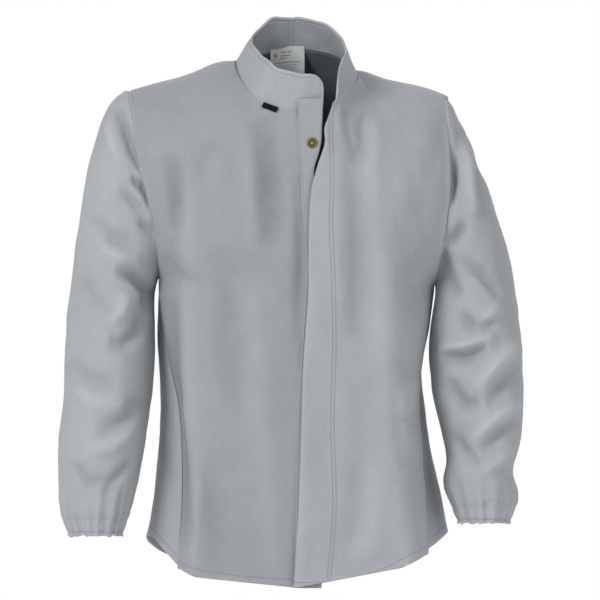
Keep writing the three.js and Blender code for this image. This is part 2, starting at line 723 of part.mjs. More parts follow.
// Neck label, hanging from the collar's inner seam at the back.
const LABEL_STATION = 6.66; // a little to the wearer's right of the back's middle
const LABEL_HALF = 0.37; // of a station, the label's half width
// The neck seam as straight stretches between half stations, as the collar's solid has it.
function neckFacet(station) {
  const first = Math.floor(station * 2) / 2;
  return neck(first).lerp(neck(first + 0.5), (station - first) * 2);
}
add(
  "neck_label",
  sheet((s, t) => {
    const point = neckFacet(lerp(LABEL_STATION - LABEL_HALF, LABEL_STATION + LABEL_HALF, s));
    point.y -= 2 * LEATHER + 3 * PLY_GAP + LABEL_PLY;
    point.z -= t * LABEL_LENGTH + SEAM_GAP;
    return point;
  }, { columns: 4, rows: 3, ply: LABEL_PLY, inside: insideNeck, ease: 1 }),
  WHITE_TAPE,
);

// The tag sewn in the collar's front seam, on the right front.
const TAG_STATION = 2.08;
const tagSeam = neck(TAG_STATION);
const tagAlong = neck(TAG_STATION + 0.2).sub(neck(TAG_STATION - 0.2)).normalize();
const tagNormal = normalAt(rightFront, (TAG_STATION - PLACKET_TOP) / 2, 0.012, insideBody);
const tagDown = tagAlong.clone().cross(tagNormal).normalize();
if (tagDown.z > 0) tagDown.negate();
const tag = new THREE.BoxGeometry(TAG_WIDTH, TAG_HEIGHT, TAG_PLY);
tag.applyMatrix4(new THREE.Matrix4().makeBasis(tagAlong, tagDown, tagNormal));
const tagCentre = tagSeam
  .addScaledVector(tagDown, TAG_HEIGHT / 2 + SEAM_GAP)
  .addScaledVector(tagNormal, TAG_PLY / 2 + TAG_LIFT);
add("name_tag", facingOut(tag.translate(tagCentre.x, tagCentre.y, tagCentre.z)), BLACK_TAPE);

export default jacket;
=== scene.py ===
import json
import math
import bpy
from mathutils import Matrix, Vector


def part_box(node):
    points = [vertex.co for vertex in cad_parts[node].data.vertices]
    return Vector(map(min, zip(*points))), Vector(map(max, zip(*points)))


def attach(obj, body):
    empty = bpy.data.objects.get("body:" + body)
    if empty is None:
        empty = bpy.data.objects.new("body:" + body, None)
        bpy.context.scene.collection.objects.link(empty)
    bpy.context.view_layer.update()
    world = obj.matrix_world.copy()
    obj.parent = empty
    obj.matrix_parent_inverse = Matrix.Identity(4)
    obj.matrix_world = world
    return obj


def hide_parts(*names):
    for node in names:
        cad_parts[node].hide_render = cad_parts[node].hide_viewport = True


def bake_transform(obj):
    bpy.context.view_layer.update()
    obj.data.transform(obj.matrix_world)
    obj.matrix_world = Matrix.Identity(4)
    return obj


bl_info = {
    "name": "Leather Welding Jacket",
    "version": (1, 0, 0),
    "blender": (4, 5, 0),
    "location": "View3D > Sidebar > Jacket",
    "description": "Builds a split-leather welding jacket around its packed frame",
    "category": "Add Mesh",
}

import bmesh
import bpy
import numpy as np
from bpy.props import FloatProperty, FloatVectorProperty, IntProperty, PointerProperty
from mathutils import Matrix, Vector, noise
from mathutils.bvhtree import BVHTree

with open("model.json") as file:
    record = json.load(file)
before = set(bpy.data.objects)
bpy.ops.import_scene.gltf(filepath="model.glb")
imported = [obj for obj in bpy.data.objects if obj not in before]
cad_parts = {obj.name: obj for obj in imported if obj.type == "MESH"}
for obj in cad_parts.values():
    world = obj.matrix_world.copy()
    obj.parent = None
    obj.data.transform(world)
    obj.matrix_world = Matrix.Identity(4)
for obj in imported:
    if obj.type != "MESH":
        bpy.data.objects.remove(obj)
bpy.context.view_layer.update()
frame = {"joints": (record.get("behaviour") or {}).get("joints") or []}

MM = 0.001
TURN = 2 * math.pi


# ---------------------------------------------------------------- measures


def lerp(a, b, k):
    return a + (b - a) * k


def clamp(v, lowest=0.0, highest=1.0):
    return max(lowest, min(highest, v))


def smooth(v, start=0.0, end=1.0):
    k = clamp((v - start) / (end - start))
    return k * k * (3 - 2 * k)


class Track:
    """A smooth function through stations (where, value), read anywhere between them."""

    def __init__(self, stations):
        self.at = [s[0] for s in stations]
        self.values = [s[1] for s in stations]
        self.rising = self.at[0] < self.at[-1]
        slopes = [
            (self.values[i + 1] - self.values[i]) / (self.at[i + 1] - self.at[i])
            for i in range(len(stations) - 1)
        ]
        middle = [(a + b) / 2 for a, b in zip(slopes, slopes[1:])]
        self.tangents = [slopes[0], *middle, slopes[-1]]

    def __call__(self, where):
        at, values = self.at, self.values
        inside = clamp(where, min(at[0], at[-1]), max(at[0], at[-1]))
        i = 0
        while i < len(at) - 2 and (
            inside > at[i + 1] if self.rising else inside < at[i + 1]
        ):
            i += 1
        span = at[i + 1] - at[i]
        k = (inside - at[i]) / span
        return (
            values[i] * (1 + 2 * k) * (1 - k) ** 2
            + self.tangents[i] * span * k * (1 - k) ** 2
            + values[i + 1] * k * k * (3 - 2 * k)
            - self.tangents[i + 1] * span * k * k * (1 - k)
        )


class SeamLine:
    """A seam's distance from the middle, and its place front to back, by height."""

    def __init__(self, points):
        self.out = Track([(z, x) for z, x, y in points])
        self.deep = Track([(z, y) for z, x, y in points])

    def __call__(self, z):
        return self.out(z), self.deep(z)


class Spline:
    """A centripetal curve through points, read by station number."""

    def __init__(self, points):
        self.points = [Vector(p) for p in points]

    def __call__(self, station):
        points = self.points
        last = len(points) - 1
        i = min(int(clamp(station, 0, last)), last - 1)
        k = clamp(station, 0, last) - i
        b, c = points[i], points[i + 1]
        a = points[i - 1] if i > 0 else b * 2 - c
        d = points[i + 2] if i + 2 <= last else c * 2 - b
        ab, bc, cd = ((q - p).length ** 0.5 for p, q in ((a, b), (b, c), (c, d)))
        leave = ((b - a) / ab - (c - a) / (ab + bc) + (c - b) / bc) * bc
        arrive = ((c - b) / bc - (d - b) / (bc + cd) + (d - c) / cd) * bc
        return (
            b
            + leave * k
            + (b * -3 + c * 3 - leave * 2 - arrive) * k**2
            + (b * 2 - c * 2 + leave + arrive) * k**3
        )


# ------------------------------------------------- the jacket's cut, in mm

NECK = [
    ((40.5, -104, -57), (1, -6, 46)),
    ((3, -106, -64), (0, -7, 51)),
    ((-30, -97, -60), (3, -5, 54)),
    ((-60, -70, -42), (16, -5, 52)),
    ((-78, -32, -16), (24, -5, 45)),
    ((-83, 5, 6), (28, -5, 46)),
    ((-62, 42, 15), (22, -19, 45)),
    ((0, 62, 26), (0, -28, 41)),
    ((62, 42, 15), (-18, -20, 42)),
    ((84, 5, -8), (-17, 0, 46)),
    ((88, -28, -20), (-15, -3, 45)),
    ((73, -80, -37), (-3, 2, 46)),
    ((60, -112, -47), (4, 3, 47)),
]
RIGHT_END, PLACKET_TOP, RIGHT_FOLD, RIGHT_NECK, BACK_NECK = 0, 1, 3, 5, 7
LEFT_NECK, LEFT_FOLD, LEFT_END = 9, 11, 12
COLLAR_HEIGHT = 47
COLLAR_CORNER = 24
# By station, how much taller the collar stands than its usual height.
collar_rise = Track(
    [(0, -5), (1, 2), (1.6, 7), (2.2, 9), (3, 5), (4, -1), (5, -5), (5.6, 2), (6.1, 13)]
    + [(6.5, 9), (7, 4), (7.5, 4), (8.2, 6), (9, 5), (10, 1), (12, 0)]
)

neck = Spline([seam for seam, lean in NECK])
neck_lean = Spline([Vector(lean).normalized() for seam, lean in NECK])


def collar(station, height):
    """A point on the collar, height in mm above its seam."""
    return neck(station) + neck_lean(station).normalized() * height


ARMHOLE_FRONT = 74
ARMHOLE_BACK = 82
LENGTH = 737


class Side:
    """One side of the body: its armhole, side seam, fold line and hem."""

    def __init__(
        self, sign, shoulder, lift, underarm, armhole, seam, fold, hem, back, stations
    ):
        self.sign = sign
        self.shoulder = Vector(shoulder)
        self.underarm = underarm
        self.armhole_out = Track(armhole)
        self.seam = SeamLine(seam)
        self.fold = SeamLine(fold)
        self.hem = Track(hem)
        self.seam_hem = seam[-1][0]
        self.back_rise, self.back_flare = Track(back[0]), Track(back[1])
        self.fold_station, self.neck_station = stations
        self.fold_hem = self.hem(self.fold(-LENGTH)[0])
        self.lift = Track(lift)  # the shoulder seam's rise over the frame's straight one
        self.middle = (shoulder[2] + underarm) / 2
        self.half = (shoulder[2] - underarm) / 2

    def armhole(self, angle):
        """The armhole's edge: 0 at the shoulder, a quarter turn at the front."""
        reach = ARMHOLE_FRONT if math.sin(angle) > 0 else ARMHOLE_BACK
        z = self.middle + self.half * math.cos(angle)
        y = self.shoulder.y - reach * math.sin(angle)
        return Vector((self.sign * self.armhole_out(z), y, z))

    def edge(self, z, reach):
        """A panel's outer edge at a height: the armhole, then the side seam."""
        if z <= self.underarm:
            return self.seam(z)
        share = clamp((z - self.middle) / self.half, -1, 1)
        y = self.shoulder.y + reach * math.sqrt(1 - share * share)
        return self.armhole_out(z), y

    def shoulder_point(self):
        return Vector((self.sign * self.shoulder.x, self.shoulder.y, self.shoulder.z))


RIGHT = Side(
    -1,
    (234, 4, -42),
    [(0, 0), (0.05, 2.5), (0.12, 5.5), (0.24, 6.5), (0.34, 4), (0.5, 2.5), (0.8, 5), (1, 6)],
    -302,
    [(-42, 234), (-83, 226), (-118, 225), (-179, 211), (-231, 199), (-302, 192)],
    [(-302, 193, 4), (-349, 190, -2), (-410, 181, -12)]
    + [(-483, 165, -22), (-600, 160, -27), (-709, 165, -26)],
    [(-42, 60, -70), (-80, 65, -98), (-130, 71, -112), (-330, 94, -119), (-718, 140, -119)],
    [(-4, -737), (42, -735), (83, -731), (136, -723), (165, -712)],
    [
        [(0, -714), (0.5, -700), (0.78, -668), (0.9, -672), (1, -709)],
        [(-330, 3), (-400, 3), (-501, 0.5), (-582, 3), (-638, 6), (-690, 10)],
    ],
    (RIGHT_FOLD, RIGHT_NECK),
)
LEFT = Side(
    1,
    (216, 4, -53),
    [(0, 0), (0.06, 3), (0.14, 4), (0.3, 3), (0.5, 6.2), (0.65, 9), (0.8, 10.5), (1, 9.5)],
    -312,
    [(-53, 216), (-90, 217), (-165, 220), (-203, 217), (-255, 210), (-312, 198)],
    [(-312, 198, 4), (-372, 190, 8), (-430, 178, 13)]
    + [(-498, 177, 7), (-613, 182, -12), (-690, 186, -18)],
    [(-37, 73, -80), (-80, 77, -102), (-130, 82, -114), (-250, 95, -120), (-706, 150, -120)],
    [(-2, -741), (24, -741), (65, -738), (118, -724), (159, -704), (186, -690)],
    [
        [(0, -714), (0.5, -696), (0.78, -662), (0.9, -666), (1, -687)],
        [(-330, 0), (-389, 0), (-445, 3), (-501, 4), (-557, 4), (-600, 2), (-690, 3)],
    ],
    (LEFT_FOLD, LEFT_NECK),
)
fly_edge = Track(
    [(-47, 60), (-74, 48), (-92, 41), (-111, 42), (-142, 32), (-177, 23), (-249, 19), (-329, 18)]
    + [(-410, 12), (-500, 9), (-613, 5), (-735, -2)]
)
fly_face = Track([(-47, -112), (-92, -122), (-142, -127), (-249, -130), (-450, -131), (-735, -130)])
fly_stitch = Track(
    [(-50, 56), (-94, 53), (-155, 55), (-225, 53), (-294, 56), (-394, 58), (-501, 55)]
    + [(-630, 58), (-727, 50)]
)
placket_seam = Track(
    [(-64, 3), (-113, 5), (-200, 10), (-281, 16), (-361, 12), (-490, 4), (-733, 0)]
)
back_middle = Track(
    [(22, 62), (-20, 88), (-60, 108), (-120, 126), (-200, 134), (-410, 141), (-700, 152)]
)
back_axis = Track([(22, 0), (-42, 10), (-300, 14), (-410, 28), (-700, 41)])
BACK_HEM = -700
STACK = 10.1  # from the left front's face down to the placket's
placket_edge = Track(
    [(-50, 40), (-92, 38.5), (-111, 37.5), (-130, 33.5), (-148, 27.5), (-162, 27.5)]
    + [(-190, 35), (-240, 47), (-320, 51), (-733, 38)]
)
PLACKET_TOP_Z = -50
PLACKET_WIDTH = 38
PLACKET_LAP = 4  # how far the right front runs on under the placket
SNAP_FIRST, SNAP_PITCH, SNAP_COUNT, SNAP_INSET = -113, 133, 5, 19

BODY_MIDDLE = Vector((0, 10, -350))  # a point inside the body, which faces turn from
ROW_SPREAD = 1.12  # above 1, the rows of a body panel lie closer together near its top
FRONT_WIDE, FRONT_HIGH, FRONT_INNER = 300, 690, 0.38  # and the inner stretch's share
BACK_WIDE, BACK_HIGH = 560, 700
LINING_WIDE, LINING_HIGH = 480, 470
PLACKET_HIGH, PLACKET_TOP_Y = 680, -110.5
FACING_WIDE, FACING_HIGH = 48, 670
SLEEVE_LONG = 600
HEM_STITCH = 12  # how far above the hem its stitching runs
TWIN_ROW = -4.8  # from the fly's first row of stitches to its second
FALL = 120  # how far down a panel its top edge's shape is felt
NECK_SHARE = 0.4
SIDE_ROUNDNESS = 0.88
BACK_SPREAD = 1.3


def hang_from(top, row_top, point, drop):
    """Turns a row's point towards the panel's top edge, the more the nearer it is."""
    left = 1 - clamp(drop / FALL)
    steep = 1 - math.sqrt(1 - left**2)
    soft = left**2
    away = top - row_top
    return point + Vector((away.x * soft, away.y * steep, away.z * soft))


def shoulder_edge(side, first, last, s):
    if s <= NECK_SHARE:
        return neck(lerp(first, last, s / NECK_SHARE))
    k = (s - NECK_SHARE) / (1 - NECK_SHARE)
    point = neck(last).lerp(side.shoulder_point(), k)
    point.z += side.lift(k)
    return point


def front_side(side, s, t):
    """A front's outer stretch, from its fold line round to the armhole and side seam."""
    fold_top = neck(side.fold_station).z

    def row(t):
        z_fold = lerp(fold_top, side.fold_hem, t)
        z_edge = lerp(side.shoulder.z, side.seam_hem, t)
        from_x, from_y = side.fold(z_fold)
        to_x, to_y = side.edge(z_edge, -ARMHOLE_FRONT)
        rounded = smooth(-z_edge, -side.underarm - 40, -side.underarm + 90)
        turn = s * math.pi / 2
        across = lerp(s, math.sin(turn) ** SIDE_ROUNDNESS, lerp(0.35, 1, rounded))
        back = lerp(s * s, 1 - max(math.cos(turn), 0) ** SIDE_ROUNDNESS, rounded)
        x, y = side.sign * lerp(from_x, to_x, across), lerp(from_y, to_y, back)
        return Vector((x, y, lerp(z_fold, z_edge, s)))

    top = shoulder_edge(side, side.fold_station, side.neck_station, s)
    drop = (fold_top - lerp(fold_top, side.fold_hem, t)) * (1 + 8 * s**6)
    hung = hang_from(top, row(0), row(t), drop)
    hem = side.hem(abs(hung.x)) - lerp(side.fold_hem, side.seam_hem, s)
    hung.z += hem * smooth(t, 0.6, 1)
    return hung


def right_front(s, t):
    """The right front's inner stretch, from the placket's seam to the fold line."""
    hem = RIGHT.hem(0)

    def row(k):
        z = lerp(lerp(neck(PLACKET_TOP).z, hem, k), lerp(neck(RIGHT_FOLD).z, RIGHT.fold_hem, k), s)
        to_x, to_y = RIGHT.fold(z)
        return Vector(
            (
                lerp(placket_seam(z) + PLACKET_LAP, -to_x, s),
                lerp(fly_face(z) + STACK, to_y, smooth(s)),
                z,
            )
        )

    drop = t * (neck(PLACKET_TOP).z - hem)
    return hang_from(neck(lerp(PLACKET_TOP, RIGHT_FOLD, s)), row(0), row(t), drop)


def left_front(s, t):
    """The left front's inner stretch, from the fly's edge to the fold line."""

    def row(k):
        z_edge = lerp(neck(LEFT_END).z, -LENGTH, k)
        z = lerp(z_edge, lerp(neck(LEFT_FOLD).z, LEFT.fold_hem, k), s)
        to_x, to_y = LEFT.fold(z)
        return Vector((lerp(fly_edge(z), to_x, s), lerp(fly_face(z), to_y, smooth(s, 0.5, 1)), z))

    drop = t * (neck(LEFT_END).z + LENGTH)
    return hang_from(neck(lerp(LEFT_END, LEFT_FOLD, s)), row(0), row(t), drop)


def placket(s, t):
    z = lerp(PLACKET_TOP_Z, RIGHT.hem(0), t)
    y = lerp(PLACKET_TOP_Y, fly_face(z) + STACK, smooth(-z, 60, 95))
    return Vector((lerp(placket_seam(z), placket_edge(z), s), y, z))


def back(s, t):
    """The back, for s from -1 at the right side seam to 1 at the left one."""
    side = RIGHT if s < 0 else LEFT
    out = abs(s)
    z_middle = lerp(neck(BACK_NECK).z, BACK_HEM, t)

    def row(k):
        z = lerp(
            lerp(neck(BACK_NECK).z, BACK_HEM, k), lerp(side.shoulder.z, BACK_HEM, k), out
        )
        z += (side.back_rise(out) - BACK_HEM) * smooth(k, 0.6, 1)
        edge_x, edge_y = side.edge(z, ARMHOLE_BACK)
        axis = back_axis(z)
        reach = back_middle(z) - axis
        last = math.asin(clamp((edge_y - axis) / reach, -0.95, 0.95))
        angle = lerp(math.pi / 2, last, out**BACK_SPREAD)
        wide = edge_x / math.cos(last)
        wide += side.back_flare(z) * smooth(out, 0.3, 0.7) * (1 - smooth(out, 0.9, 1))
        return Vector((side.sign * wide * math.cos(angle), axis + reach * math.sin(angle), z))

    top = shoulder_edge(side, BACK_NECK, side.neck_station, out)
    drop = (neck(BACK_NECK).z - z_middle) * (1 + 8 * out**6)
    return hang_from(top, row(0), row(t), drop)


UPPER_RING = -330
SEAM_TUCK = 2.4  # how far a sleeve starts under the panels' armhole edge
CAP_SHARE = 0.42
CUFF_HEIGHT = 32


class Arm:
    """A sleeve's form: a point for an angle round it and a share of its length."""

    depth = Track([(-330, 76), (-445, 70), (-557, 60), (-613, 52), (-665, 41)])
    middle = Track([(-330, 1), (-445, -8), (-557, -20), (-665, -32)])

    def __init__(self, side, cap, outer, inner, end):
        self.side = side
        self.cap = cap
        self.outer = Track(outer)
        self.inner = Track(inner)
        self.end = end
        self.cuff_top = lerp(CAP_SHARE, 1, (end + CUFF_HEIGHT - UPPER_RING) / (end - UPPER_RING))

    def ring(self, angle, z):
        centre = (self.outer(z) + self.inner(z)) / 2
        half = (self.outer(z) - self.inner(z)) / 2
        return Vector(
            (
                self.side.sign * (centre + half * math.cos(angle)),
                self.middle(z) - self.depth(z) * math.sin(angle),
                z,
            )
        )

    def __call__(self, angle, v):
        if v >= CAP_SHARE:
            z = lerp(UPPER_RING, self.end, (v - CAP_SHARE) / (1 - CAP_SHARE))
            return self.ring(angle, z)
        out = self.side.sign
        height = (1 + math.cos(angle)) / 2
        a = self.side.armhole(angle)
        a += Vector((-out * SEAM_TUCK, 0, self.side.lift(1) * smooth(math.cos(angle), 0.2, 1)))
        a.y = lerp(a.y, self.side.shoulder.y, 0.03)
        a.z -= SEAM_TUCK * max(math.cos(angle), 0)
        d = self.ring(angle, UPPER_RING)
        leave_out, leave_down, arrive_in, arrive_up = self.cap
        b = a + Vector((out * lerp(2, leave_out, height), 0, -leave_down * height))
        c = d + Vector((-out * arrive_in * height, 0, lerp(8, arrive_up, height)))
        k = v / CAP_SHARE
        return (
            a * (1 - k) ** 3 + b * (3 * k * (1 - k) ** 2) + c * (3 * k * k * (1 - k)) + d * k**3
        )


RIGHT_ARM = Arm(
    RIGHT,
    (46, -11, 11, 160),
    [(-330, 317), (-361, 322), (-445, 326), (-557, 333), (-613, 332), (-640, 327), (-665, 317)],
    [(-330, 197), (-389, 199), (-445, 202), (-501, 207), (-557, 214), (-613, 227), (-665, 245)],
    -665,
)
LEFT_ARM = Arm(
    LEFT,
    (44, 74, 13, 92),
    [(-330, 313), (-400, 323), (-480, 325), (-540, 319), (-575, 309), (-605, 315), (-647, 301)],
    [(-330, 197), (-389, 190), (-445, 193), (-473, 196), (-501, 204), (-529, 212), (-557, 216)]
    + [(-585, 211), (-613, 217), (-647, 231)],
    -647,
)


# ------------------------------------------------------- folds and creases


class Fold:
    """A crease or a roll drawn over a piece by (x, z) points, in mm.

    height is how far it stands out, or in where negative; lean widens one flank.
    """

    def __init__(self, height, width, *points, lean=0.0):
        self.height, self.width, self.lean = height, width, lean
        self.points = np.array(points, float)

    def __call__(self, where, tight=1.0):
        best = np.full(len(where), 1e9)
        side = np.zeros(len(where))
        along = np.zeros(len(where))
        steps = np.diff(self.points, axis=0)
        lengths = np.hypot(*steps.T)
        total, gone = lengths.sum(), 0.0
        for start, step, length in zip(self.points, steps, lengths):
            rel = where - start
            k = np.clip(rel @ step / length**2, 0, 1)
            gap = rel - k[:, None] * step
            distance = np.hypot(*gap.T)
            nearer = distance < best
            best = np.where(nearer, distance, best)
            side = np.where(nearer, np.sign(step[0] * rel[:, 1] - step[1] * rel[:, 0]), side)
            along = np.where(nearer, (gone + k * length) / total, along)
            gone += length
        taper = np.clip(4 * along * (1 - along), 0, 1) ** 0.6
        wide = self.width * tight * (1 + self.lean * side * 0.7)
        return self.height * taper * np.exp(-((best / wide) ** 2))


def waves(points, seed, across, down, height):
    """Soft unevenness: patches so many mm across and down, so many mm high."""
    shift = Vector((seed * 7.3, seed * 3.1, seed * 5.7))
    return np.array(
        [
            height * noise.noise(Vector((p[0] / across, p[1] / across, p[2] / down)) + shift)
            for p in points
        ]
    )


def edge_roll(distance, reach, depth):
    """How far a seamed edge turns in, that distance from it."""
    left = 1 - np.clip(distance / reach, 0, 1)
    return -depth * (1 - np.sqrt(1 - left**2))


def marks(length, step, start=True, end=True):
    """Shares along a side so many mm long, closer together by a seamed end."""
    close = [0, 1.2, 3.0, 5.6]
    first = close if start else [0]
    last = close if end else [0]
    room = length - first[-1] - last[-1]
    count = max(1, round(room / step))
    inner = [first[-1] + room * i / count for i in range(1, count)]
    places = first + inner + [length - d for d in reversed(last)]
    return [p / length for p in places]


# ----------------------------------------------------------------- meshes


def mesh_object(name, bm, finish, smooth_faces=True):
    mesh = bpy.data.meshes.new(name)
    bm.to_mesh(mesh)
    bm.free()
    piece = bpy.data.objects.new(name, mesh)
    bpy.context.scene.collection.objects.link(piece)
    mesh.materials.append(finish)
    for face in mesh.polygons:
        face.use_smooth = smooth_faces
    return piece


class Sheet:
    """A panel made as a grid: its vertices are read by their shares s and t."""

    def __init__(self, columns, rows):
        self.begin()
        bmesh.ops.create_grid(
            self.bm,
            x_segments=len(columns) - 1,
            y_segments=len(rows) - 1,
            size=0.5,
            calc_uvs=True,
        )
        self.verts = list(self.bm.verts)
        wide, high = len(columns) - 1, len(rows) - 1
        self.s = [columns[round((v.co.x + 0.5) * wide)] for v in self.verts]
        self.t = [rows[round((0.5 - v.co.y) * high)] for v in self.verts]

    def begin(self):
        self.bm = bmesh.new()
        self.bm.loops.layers.uv.new("UVMap")
        # fold: each vertex's crease height, which the leather reads as painted shade in the creases
        # and painted light on their ridges
        self.fold = self.bm.verts.layers.float.new("fold")
        self.rub = self.bm.verts.layers.float.new("rub")

    def place(self, surface):
        for v, s, t in zip(self.verts, self.s, self.t):
            v.co = surface(s, t)

    def face_out(self, inside):
        """Turns the faces round if they look towards a point inside."""
        self.bm.normal_update()
        looks = sum(
            f.normal.dot(f.calc_center_median() - inside) * f.calc_area() for f in self.bm.faces
        )
        if looks < 0:
            bmesh.ops.reverse_faces(self.bm, faces=self.bm.faces)
        self.bm.normal_update()

    def points(self):
        return np.array([v.co for v in self.verts])

    def soften(self, times, where=lambda s, t: True):
        read = zip(self.verts, self.s, self.t)
        chosen = [v for v, s, t in read if where(s, t) and not v.is_boundary]
        for _ in range(times):
            bmesh.ops.smooth_vert(
                self.bm, verts=chosen, factor=0.5, use_axis_x=True, use_axis_y=True, use_axis_z=True
            )
        self.bm.normal_update()

    def raise_by(self, heights):
        for v, height in zip(self.verts, heights):
            v.co += v.normal * float(height)
        self.bm.normal_update()

    def note(self, layer, values):
        for v, value in zip(self.verts, values):
            v[layer] = float(value)

    def set_uv(self, read):
        """read gives a vertex's place on the piece, in metres, from s, t and its point."""
        layer = self.bm.loops.layers.uv.active
        for v, s, t in zip(self.verts, self.s, self.t):
            u = read(s, t, v.co)
            for loop in v.link_loops:
                loop[layer].uv = (u[0] * MM, u[1] * MM)

    def finish(self, name, finish, ply, subdivide=1, rim=True):
        bmesh.ops.scale(self.bm, vec=(MM, MM, MM), verts=self.bm.verts)
        piece = mesh_object(name, self.bm, finish)
        wall = piece.modifiers.new("Ply", "SOLIDIFY")
        wall.thickness = ply * MM
        wall.offset = -1
        wall.use_rim = rim
        if subdivide:
            soft = piece.modifiers.new("Soft", "SUBSURF")
            soft.levels = soft.render_levels = subdivide
            soft.boundary_smooth = "PRESERVE_CORNERS"
        return piece


class Tube(Sheet):
    """A sleeve or a cuff: an open-ended tube read by its angle s and its share t."""

    def __init__(self, sides, rows):
        self.begin()
        bmesh.ops.create_circle(self.bm, segments=sides, radius=1)
        edges = list(self.bm.edges)
        for _ in rows[1:]:
            made = bmesh.ops.extrude_edge_only(self.bm, edges=edges)["geom"]
            ring = {g for g in made if isinstance(g, bmesh.types.BMVert)}
            bmesh.ops.translate(self.bm, verts=list(ring), vec=(0, 0, -1))
            lines = [g for g in made if isinstance(g, bmesh.types.BMEdge)]
            edges = [line for line in lines if ring.issuperset(line.verts)]
        self.verts = list(self.bm.verts)
        self.s = [math.atan2(v.co.y, v.co.x) % TURN for v in self.verts]
        self.t = [rows[round(-v.co.z)] for v in self.verts]


def surface_tree(piece):
    """A piece's finished surface, for setting stitches on it."""
    shown = piece.evaluated_get(bpy.context.evaluated_depsgraph_get())
    mesh = shown.to_mesh()
    tree = BVHTree.FromPolygons(
        [v.co.copy() for v in mesh.vertices], [tuple(p.vertices) for p in mesh.polygons]
    )
    shown.to_mesh_clear()
    return tree


STITCH_LENGTH, STITCH_THICK, STITCH_SINK = 2.7, 0.62, 0.12


def stitches(name, lines, tree, finish, step):
    """Rows of thread along lines, each laid where the surface is, seen from the front."""
    bm = bmesh.new()
    look = Vector((0, -1, 0))
    for line in lines:
        places = [Vector(p) * MM for p in line]
        gaps = [(b - a).length for a, b in zip(places, places[1:])]
        total = sum(gaps)
        count = max(1, int(total / (step * MM)))
        spots = []
        for i in range(count + 1):
            left = total * i / count
            k = 0
            while k < len(gaps) - 1 and left > gaps[k]:
                left -= gaps[k]
                k += 1
            spots.append(places[k].lerp(places[k + 1], left / gaps[k]))
        hits = []
        for spot in spots:
            hit, normal, _, _ = tree.ray_cast(spot + look * 0.03, -look, 0.06)
            if hit is None or normal.dot(look) < 0.05:
                hit, normal, _, _ = tree.find_nearest(spot)
            hits.append((hit, normal))
        for (a, normal), (b, _) in zip(hits, hits[1:]):
            run = b - a
            if run.length < 1e-5 or run.length > 3 * step * MM:
                continue
            along = run.normalized()
            across = normal.cross(along).normalized()
            up = along.cross(across)
            turn = Matrix((along, across, up)).transposed().to_4x4()
            lift = STITCH_THICK * 0.5 - STITCH_SINK - STITCH_THICK * 0.25
            middle = (a + b) / 2 + up * lift * MM
            half = STITCH_THICK / 2 * MM
            size = Matrix.Diagonal((STITCH_LENGTH / 2 * MM, half, half, 1))
            bmesh.ops.create_icosphere(
                bm, subdivisions=1, radius=1, matrix=Matrix.Translation(middle) @ turn @ size
            )
    return mesh_object(name, bm, finish)


# -------------------------------------------------------------- materials


class Value:
    """A node's output, so that shader maths reads as plain maths."""

    def __init__(self, shader, socket):
        self.shader, self.socket = shader, socket

    def _with(self, operation, a, b):
        return self.shader.node("ShaderNodeMath", {"operation": operation}, {0: a, 1: b})

    def __add__(self, other):
        return self._with("ADD", self, other)

    def __sub__(self, other):
        return self._with("SUBTRACT", self, other)

    def __mul__(self, other):
        return self._with("MULTIPLY", self, other)

    def __radd__(self, other):
        return self._with("ADD", other, self)

    def __rsub__(self, other):
        return self._with("SUBTRACT", other, self)

    def __abs__(self):
        return self._with("ABSOLUTE", self, 0.0)

    def at_least(self, other):
        return self._with("MAXIMUM", self, other)

    def at_most(self, other):
        return self._with("MINIMUM", self, other)

    def above(self, other):
        return self._with("GREATER_THAN", self, other)

    def sine(self):
        return self._with("SINE", self, 0.0)

    def ramp(self, start, end):
        """0 before start, 1 after end, smooth between."""
        return self.shader.node(
            "ShaderNodeMapRange",
            {"interpolation_type": "SMOOTHSTEP"},
            {"Value": self, "From Min": start, "From Max": end},
            "Result",
        )

    def line(self, place, width):
        """1 on a line where this value is place, falling off over width."""
        return 1.0 - abs(self - place).ramp(0.0, width)


